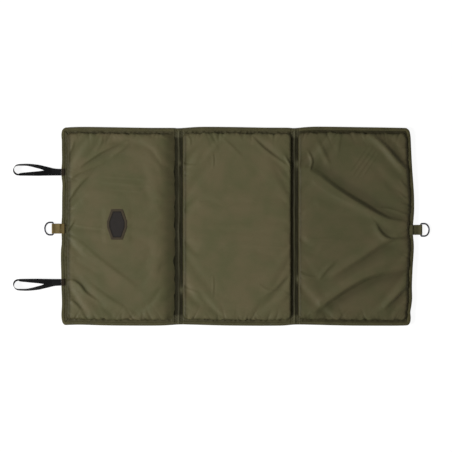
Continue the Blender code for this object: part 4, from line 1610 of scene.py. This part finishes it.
@dataclass
class SewnEnd:
    """The end of a loop or tab, stitched flat on top of the edge tape."""

    node: str
    slot: str
    bevel: float = 0.55 * MM

    def build(self, material: bpy.types.Material) -> bpy.types.Object:
        """Makes the end as a soft-edged patch in its node's place."""
        low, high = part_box(self.node)
        place = Matrix.Translation((low + high) / 2) @ Matrix.Diagonal((*(high - low), 1))
        mesh = bpy.data.meshes.new(self.node)
        with edited(mesh) as bm:
            bmesh.ops.create_cube(bm, size=1, matrix=place)
            bmesh.ops.bevel(bm, geom=bm.edges[:], offset=self.bevel, segments=3, affect="EDGES")
        mesh.materials.append(material)
        mesh.shade_smooth()
        mesh.set_sharp_from_angle(angle=math.radians(50))
        piece = add_object(f"{self.node}_patch", mesh)
        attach(piece, "left_panel" if low.x < 0 else "right_panel")
        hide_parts(self.node)
        return piece


@dataclass
class Badge:
    """A bare leather badge, widest at its middle, with a raised rim and a line pressed inside it.

    Attributes:
        width, length: Its size across its side corners and from end to end.
        end_width, side_length: Length of its straight ends and of its straight sides.
        thickness: Its height over the node's underside.
        sunk_depth: How far it reaches down into the pad.
        rim, groove, line_width: Widths of its rim, of the sunk band inside that and of the line.
        recess, step: How deep the bands between are pressed, and the width of their slopes.
        edge_bevel: Height and width of the bevel round its outer edge.
        parts: The material of each band of faces, from the outer edge in.
    """

    width: float = 59.5 * MM
    length: float = 91 * MM
    end_width: float = 33.5 * MM
    side_length: float = 18 * MM
    thickness: float = 1.2 * MM
    rim: float = 7.0 * MM
    groove: float = 1.8 * MM
    line_width: float = 1.0 * MM
    recess: float = 0.45 * MM
    step: float = 0.3 * MM
    sunk_depth: float = 0.8 * MM
    edge_bevel: float = 0.5 * MM
    parts: tuple[int, ...] = (1, 1, 1, 2, 2, 0, 0, 0)

    def corners(self, inset: float) -> list[tuple[float, float]]:
        """Gives the outline's corners, a distance in from the edge."""
        half_width, half_length = self.width / 2, self.length / 2
        lean = math.atan2(half_width - self.end_width / 2, half_length - self.side_length / 2)
        half_side = self.side_length / 2 - inset * math.tan(lean / 2)
        half_end = self.end_width / 2 - inset * math.tan((RIGHT_ANGLE - lean) / 2)
        quarter = [(half_width - inset, half_side), (half_end, half_length - inset)]
        upper = quarter + [(-x, y) for x, y in reversed(quarter)]
        return upper + [(-x, -y) for x, y in upper]

    def build(self, finishes: Finishes) -> bpy.types.Object:
        """Makes the badge on the left pad."""
        low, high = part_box("badge")
        centre = (low + high) / 2
        base, top = low.z - self.sunk_depth, low.z + self.thickness
        sunk = top - self.recess
        line = self.rim + self.groove
        line_end = line + self.line_width
        insets = (
            (0.0, base), (0.0, top - self.edge_bevel), (self.edge_bevel, top),
            (self.rim - self.step, top), (self.rim, sunk), (line, sunk), (line + self.step, top),
            (line_end - self.step, top), (line_end, sunk),
        )
        rings = np.array([
            [(centre.x + x, centre.y + y, height) for x, y in self.corners(inset)]
            for inset, height in insets
        ])
        piece = loft("leather_badge", rings, finishes.leather)
        for material in (finishes.leather_rim, finishes.leather_line):
            piece.data.materials.append(material)
        around = len(rings[0])
        for polygon in piece.data.polygons:
            ring = min(polygon.vertices) // around
            if len(polygon.vertices) == 4 and ring < len(self.parts):
                polygon.material_index = self.parts[ring]
        piece.data.set_sharp_from_angle(angle=math.radians(35))
        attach(piece, "left_panel")
        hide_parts("badge")
        return piece


class Stitching:
    """Rows of stitches: a Geometry Nodes tree lays a thread at even steps along a path.

    Attributes:
        tape_inset: Distance of the tape's rows from the mat's edge.
        strip_inset: Distance of a fold strip's rows from its stitch lines.
        fold_clear: How far the tape's rows stop short of a fold, which bends the tape.
        end_clear: How far the strips' rows stop short of the mat's edges, which the tape covers.
        tape_lift, strip_lift: How far the rows lie over the tape's and the strips' faces.
        strip_points: How many points a strip's row has.
    """

    tape_inset = 7.6 * MM
    strip_inset = 3 * MM
    fold_clear = 9 * MM
    end_clear = 12 * MM
    tape_lift = 0.05 * MM
    strip_lift = 0.1 * MM
    strip_points = 120

    def __init__(self) -> None:
        """Builds the tree."""
        tree = bpy.data.node_groups.new("stitch_row", "GeometryNodeTree")
        tree.interface.new_socket("Geometry", in_out="INPUT", socket_type="NodeSocketGeometry")
        for name in ("Pitch", "Length", "Thread"):
            tree.interface.new_socket(name, in_out="INPUT", socket_type="NodeSocketFloat")
        tree.interface.new_socket("Material", in_out="INPUT", socket_type="NodeSocketMaterial")
        tree.interface.new_socket("Geometry", in_out="OUTPUT", socket_type="NodeSocketGeometry")
        given = add_node(tree, "NodeGroupInput").outputs
        path = add_node(tree, "GeometryNodeMeshToCurve", {"Mesh": given["Geometry"]}).outputs[0]
        resample = add_node(
            tree, "GeometryNodeResampleCurve", {"Curve": path, "Length": given["Pitch"]},
            mode="LENGTH",
        )
        tangent = add_node(tree, "GeometryNodeInputTangent").outputs[0]
        turn = add_node(
            tree, "FunctionNodeAlignRotationToVector", {"Vector": tangent}, axis="X"
        ).outputs[0]
        size = add_node(
            tree, "ShaderNodeCombineXYZ",
            {"X": given["Length"], "Y": given["Thread"], "Z": given["Thread"]},
        ).outputs[0]
        thread = add_node(
            tree, "GeometryNodeMeshIcoSphere", {"Radius": 0.5, "Subdivisions": 2}
        ).outputs["Mesh"]
        laid = add_node(
            tree, "GeometryNodeInstanceOnPoints",
            {"Points": resample.outputs[0], "Instance": thread, "Rotation": turn, "Scale": size},
        ).outputs[0]
        real = add_node(tree, "GeometryNodeRealizeInstances", {"Geometry": laid}).outputs[0]
        done = add_node(
            tree, "GeometryNodeSetMaterial", {"Geometry": real, "Material": given["Material"]}
        ).outputs[0]
        add_node(tree, "NodeGroupOutput", {0: done})
        self.tree = tree

    def row(
        self, name: str, paths: Sequence[np.ndarray], material: bpy.types.Material, body: str,
        slot: str, pitch: float = 3.6 * MM, length: float = 2.6 * MM, thread: float = 0.7 * MM,
    ) -> bpy.types.Object:
        """Lays stitches along paths and puts them on a body.

        Args:
            name: The piece's name.
            paths: The paths that the stitches follow, each one point a row.
            material: The thread's material.
            body: The body that the stitches move with.
            slot: The record's material slot. Not used.
            pitch: Step from stitch to stitch.
            length: Length of one stitch.
            thread: Thickness of the thread.

        Returns:
            The stitches as one mesh.
        """
        mesh = bpy.data.meshes.new(f"{name}_path")
        points, edges = [], []
        for path in paths:
            first = len(points)
            points += [tuple(point) for point in path]
            edges += [(first + k, first + k + 1) for k in range(len(path) - 1)]
        mesh.from_pydata(points, edges, [])
        host = add_object(f"{name}_host", mesh)
        modifier = host.modifiers.new("stitches", "NODES")
        modifier.node_group = self.tree
        values = {"Pitch": pitch, "Length": length, "Thread": thread, "Material": material}
        for item in self.tree.interface.items_tree:
            if item.in_out == "INPUT" and item.name in values:
                modifier[item.identifier] = values[item.name]
        graph = bpy.context.evaluated_depsgraph_get()
        made = bpy.data.meshes.new_from_object(host.evaluated_get(graph))
        made.name = name
        made.shade_smooth()
        host.modifiers.clear()
        bpy.data.objects.remove(host, do_unlink=True)
        piece = add_object(name, made)
        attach(piece, body)
        return piece


@dataclass
class Studio:
    """A pale floor, soft light from the left and a camera straight above, as in the photo."""

    camera_height: float = 6.0
    sensor: float = 0.036
    ambient: float = 0.3
    key_power: float = 605.0
    key_place: tuple[float, float, float] = (-4.9, -1.1, 3.3)
    key_size: float = 2.1
    floor_glow: float = 0.88
    floor_half: float = 8.0
    floor_drop: float = 0.3 * MM
    floor_tone: tuple[float, float, float, float] = (0.9, 0.9, 0.9, 1)
    floor_light: float = 1.05
    white: tuple[float, float, float, float] = (1, 1, 1, 1)
    far_clip: float = 100.0

    def build(self) -> None:
        """Makes the floor, the lights, the world and the camera."""
        scene = bpy.context.scene
        scene.view_settings.view_transform = "Standard"
        centre = GRID.place(GRID.pixels / 2, GRID.pixels / 2)
        data = bpy.data.cameras.new("camera")
        data.sensor_width = self.sensor / MM
        width = GRID.pixels * GRID.metres_per_pixel
        data.lens = self.sensor / MM * (self.camera_height - LAYOUT.seam_z * 2) / width
        data.clip_end = self.far_clip
        camera = add_object("camera", data)
        camera.location = (*centre, self.camera_height)
        scene.camera = camera
        lamp = bpy.data.lights.new("key", "AREA")
        lamp.energy = self.key_power
        lamp.shape = "DISK"
        lamp.size = self.key_size
        key = add_object("key", lamp)
        key.location = self.key_place
        key.rotation_euler = (-Vector(self.key_place)).to_track_quat("-Z", "Y").to_euler()
        key.visible_camera = False
        self.build_world(scene)
        self.build_floor(scene)

    def build_world(self, scene: bpy.types.Scene) -> None:
        """Makes an even white surround that the camera sees as white."""
        world = bpy.data.worlds.new("surround")
        scene.world = world
        world.use_nodes = True
        tree = world.node_tree
        tree.nodes.clear()
        path = add_node(tree, "ShaderNodeLightPath").outputs
        ray = path["Is Camera Ray"]
        for kind in ("Is Transmission Ray", "Is Glossy Ray"):
            sockets = {0: ray, 1: path[kind]}
            ray = add_node(tree, "ShaderNodeMath", sockets, operation="MAXIMUM").outputs[0]
        light, white = (
            add_node(tree, "ShaderNodeBackground", {"Color": self.white, "Strength": strength})
            for strength in (self.ambient, 1.0)
        )
        sockets = {0: ray, 1: light.outputs[0], 2: white.outputs[0]}
        mixed = add_node(tree, "ShaderNodeMixShader", sockets)
        add_node(tree, "ShaderNodeOutputWorld", {"Surface": mixed.outputs[0]})

    def build_floor(self, scene: bpy.types.Scene) -> None:
        """Makes the floor: pale, and lifted towards white for the camera while its shadows stay."""
        material = bpy.data.materials.new("pale_floor")
        material.use_nodes = True
        tree = material.node_tree
        tree.nodes.clear()
        ray = add_node(tree, "ShaderNodeLightPath").outputs["Is Camera Ray"]
        sockets = {0: ray, 1: self.floor_glow}
        share = add_node(tree, "ShaderNodeMath", sockets, operation="MULTIPLY").outputs[0]
        lit = add_node(tree, "ShaderNodeBsdfDiffuse", {"Color": self.floor_tone})
        sockets = {"Color": self.white, "Strength": self.floor_light}
        white = add_node(tree, "ShaderNodeEmission", sockets)
        sockets = {0: share, 1: lit.outputs[0], 2: white.outputs[0]}
        mixed = add_node(tree, "ShaderNodeMixShader", sockets)
        add_node(tree, "ShaderNodeOutputMaterial", {"Surface": mixed.outputs[0]})
        corners = np.array([(-1, -1, 0), (1, -1, 0), (1, 1, 0), (-1, 1, 0)]) * self.floor_half
        floor = new_piece("floor", corners - self.floor_drop * UP, [(0, 1, 2, 3)], [material])


def build_pads(finishes: Finishes) -> None:
    """Makes the three pads."""
    rim, run, long_run = LAYOUT.fold_rim, 7 * MM, 42 * MM
    inner, outer = LAYOUT.inner_fold - rim, LAYOUT.outer_fold + rim
    # The pads differ in painted shade: the right one is darker all over, and the left one darker at
    # its low end.
    for pad in (
        Pad(
            "left", "left_panel", LAYOUT.left_x, -outer, run, long_run, LEFT_FOLDS, (104.5, 128.5),
            seed=11, long_slope=True, shade_painting=ShadePainting(floor=0.1, low_shade=0.25),
            low_gather=1.0, high_gather=0.2, badge=True,
        ),
        Pad(
            "middle", "middle", -inner, inner, run, 6 * MM, MIDDLE_FOLDS, (223.5, 247.5),
            seed=23, shade_painting=ShadePainting(high=0.0),
        ),
        Pad(
            "right", "right_panel", outer, LAYOUT.right_x, run, 10 * MM, RIGHT_FOLDS,
            (341.5, 366.0), seed=37, shade_painting=ShadePainting(floor=0.34, low=1.2), high_gather=1.0,
        ),
    ):
        pad.build(finishes)


def build_edges(finishes: Finishes, stitching: Stitching) -> None:
    """Makes the hems and the tape round the mat, with the stitches in the tape."""
    inner = LAYOUT.inner_fold - LAYOUT.bend_half
    runs = (
        ("left_edge", "left_panel", end_run(-1)),
        ("right_edge", "right_panel", end_run(1)),
        ("middle_front", "middle", straight_run(-inner, inner, -1)),
        ("middle_back", "middle", straight_run(-inner, inner, 1)),
    )
    for seed, (name, body, run) in enumerate(runs, HEM_SEED):
        tape = EdgeTape(f"{name}_tape", run).build(finishes)
        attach(tape, body)
        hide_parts(f"{name}_binding")
        # The right end's hem has painted shade all along, and more round one stretch of rows.
        painted_shade, dark = (0.45, 0.6) if name == "right_edge" else (0.0, 0.0)
        hem = Hem(f"{name}_hem", run, seed, painted_shade, dark).build(finishes)
        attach(hem, body)
        line = run.inside(stitching.tape_inset)
        away = np.abs(line[:, 0])
        clear = LAYOUT.inner_fold - away if body == "middle" else away - LAYOUT.outer_fold
        line = line[clear > stitching.fold_clear]
        height = LAYOUT.tape_half + stitching.tape_lift
        rows = [on_sheet(line, sign * height) for sign in (-1, 1)]
        stitching.row(f"{name}_stitches", rows, finishes.thread, body, "binding_tape")
        LOG.info("%s: tape, hem and stitches", name)


def build_folds(finishes: Finishes, stitching: Stitching) -> None:
    """Makes the two folds with their rows of stitches."""
    end = LAYOUT.back_y - stitching.end_clear
    ys = np.linspace(-end, end, stitching.strip_points)
    inset = stitching.strip_inset
    for side in (-1, 1):
        fold = FoldCloth(side)
        made = fold.build(finishes)
        rows = []
        for distance in (LAYOUT.inner_fold + inset, LAYOUT.outer_fold - inset):
            plan = np.column_stack([np.full(len(ys), side * distance), ys])
            rows.append(on_sheet(plan, fold.half + stitching.strip_lift))
        name, body = f"{fold.name}_fold_stitches", f"{fold.name}_web"
        stitching.row(name, rows, finishes.dark_thread, body, "web_fabric")
        LOG.info("%s fold: %d pieces", fold.name, len(made) + 1)


def build_fittings(finishes: Finishes) -> None:
    """Makes the loops, the tabs with their rings, the sewn ends and the badge."""
    for name, mirror in (("upper_loop", 1), ("lower_loop", -1)):
        LOG.info("%s", ElasticLoop(name, mirror).build(finishes).name)
        LOG.info("%s", SewnEnd(f"{name}_sewn_end", "elastic").build(finishes.root).name)
    for side in (-1, 1):
        tab = RingTab(side)
        LOG.info("%s", tab.build_tab(finishes).name)
        LOG.info("%s", tab.build_ring(finishes).name)
        node = f"{tab.name}_tab_sewn_end"
        LOG.info("%s", SewnEnd(node, "webbing").build(tab.webbing(finishes)).name)
    LOG.info("%s", Badge().build(finishes).name)


def main() -> None:
    """Builds the mat's looks and the studio round it."""
    logging.basicConfig(level=logging.INFO, format="%(message)s")
    finishes = Finishes()
    stitching = Stitching()
    Studio().build()
    build_pads(finishes)
    build_edges(finishes, stitching)
    build_folds(finishes, stitching)
    build_fittings(finishes)


if __name__ == "__main__":
    main()
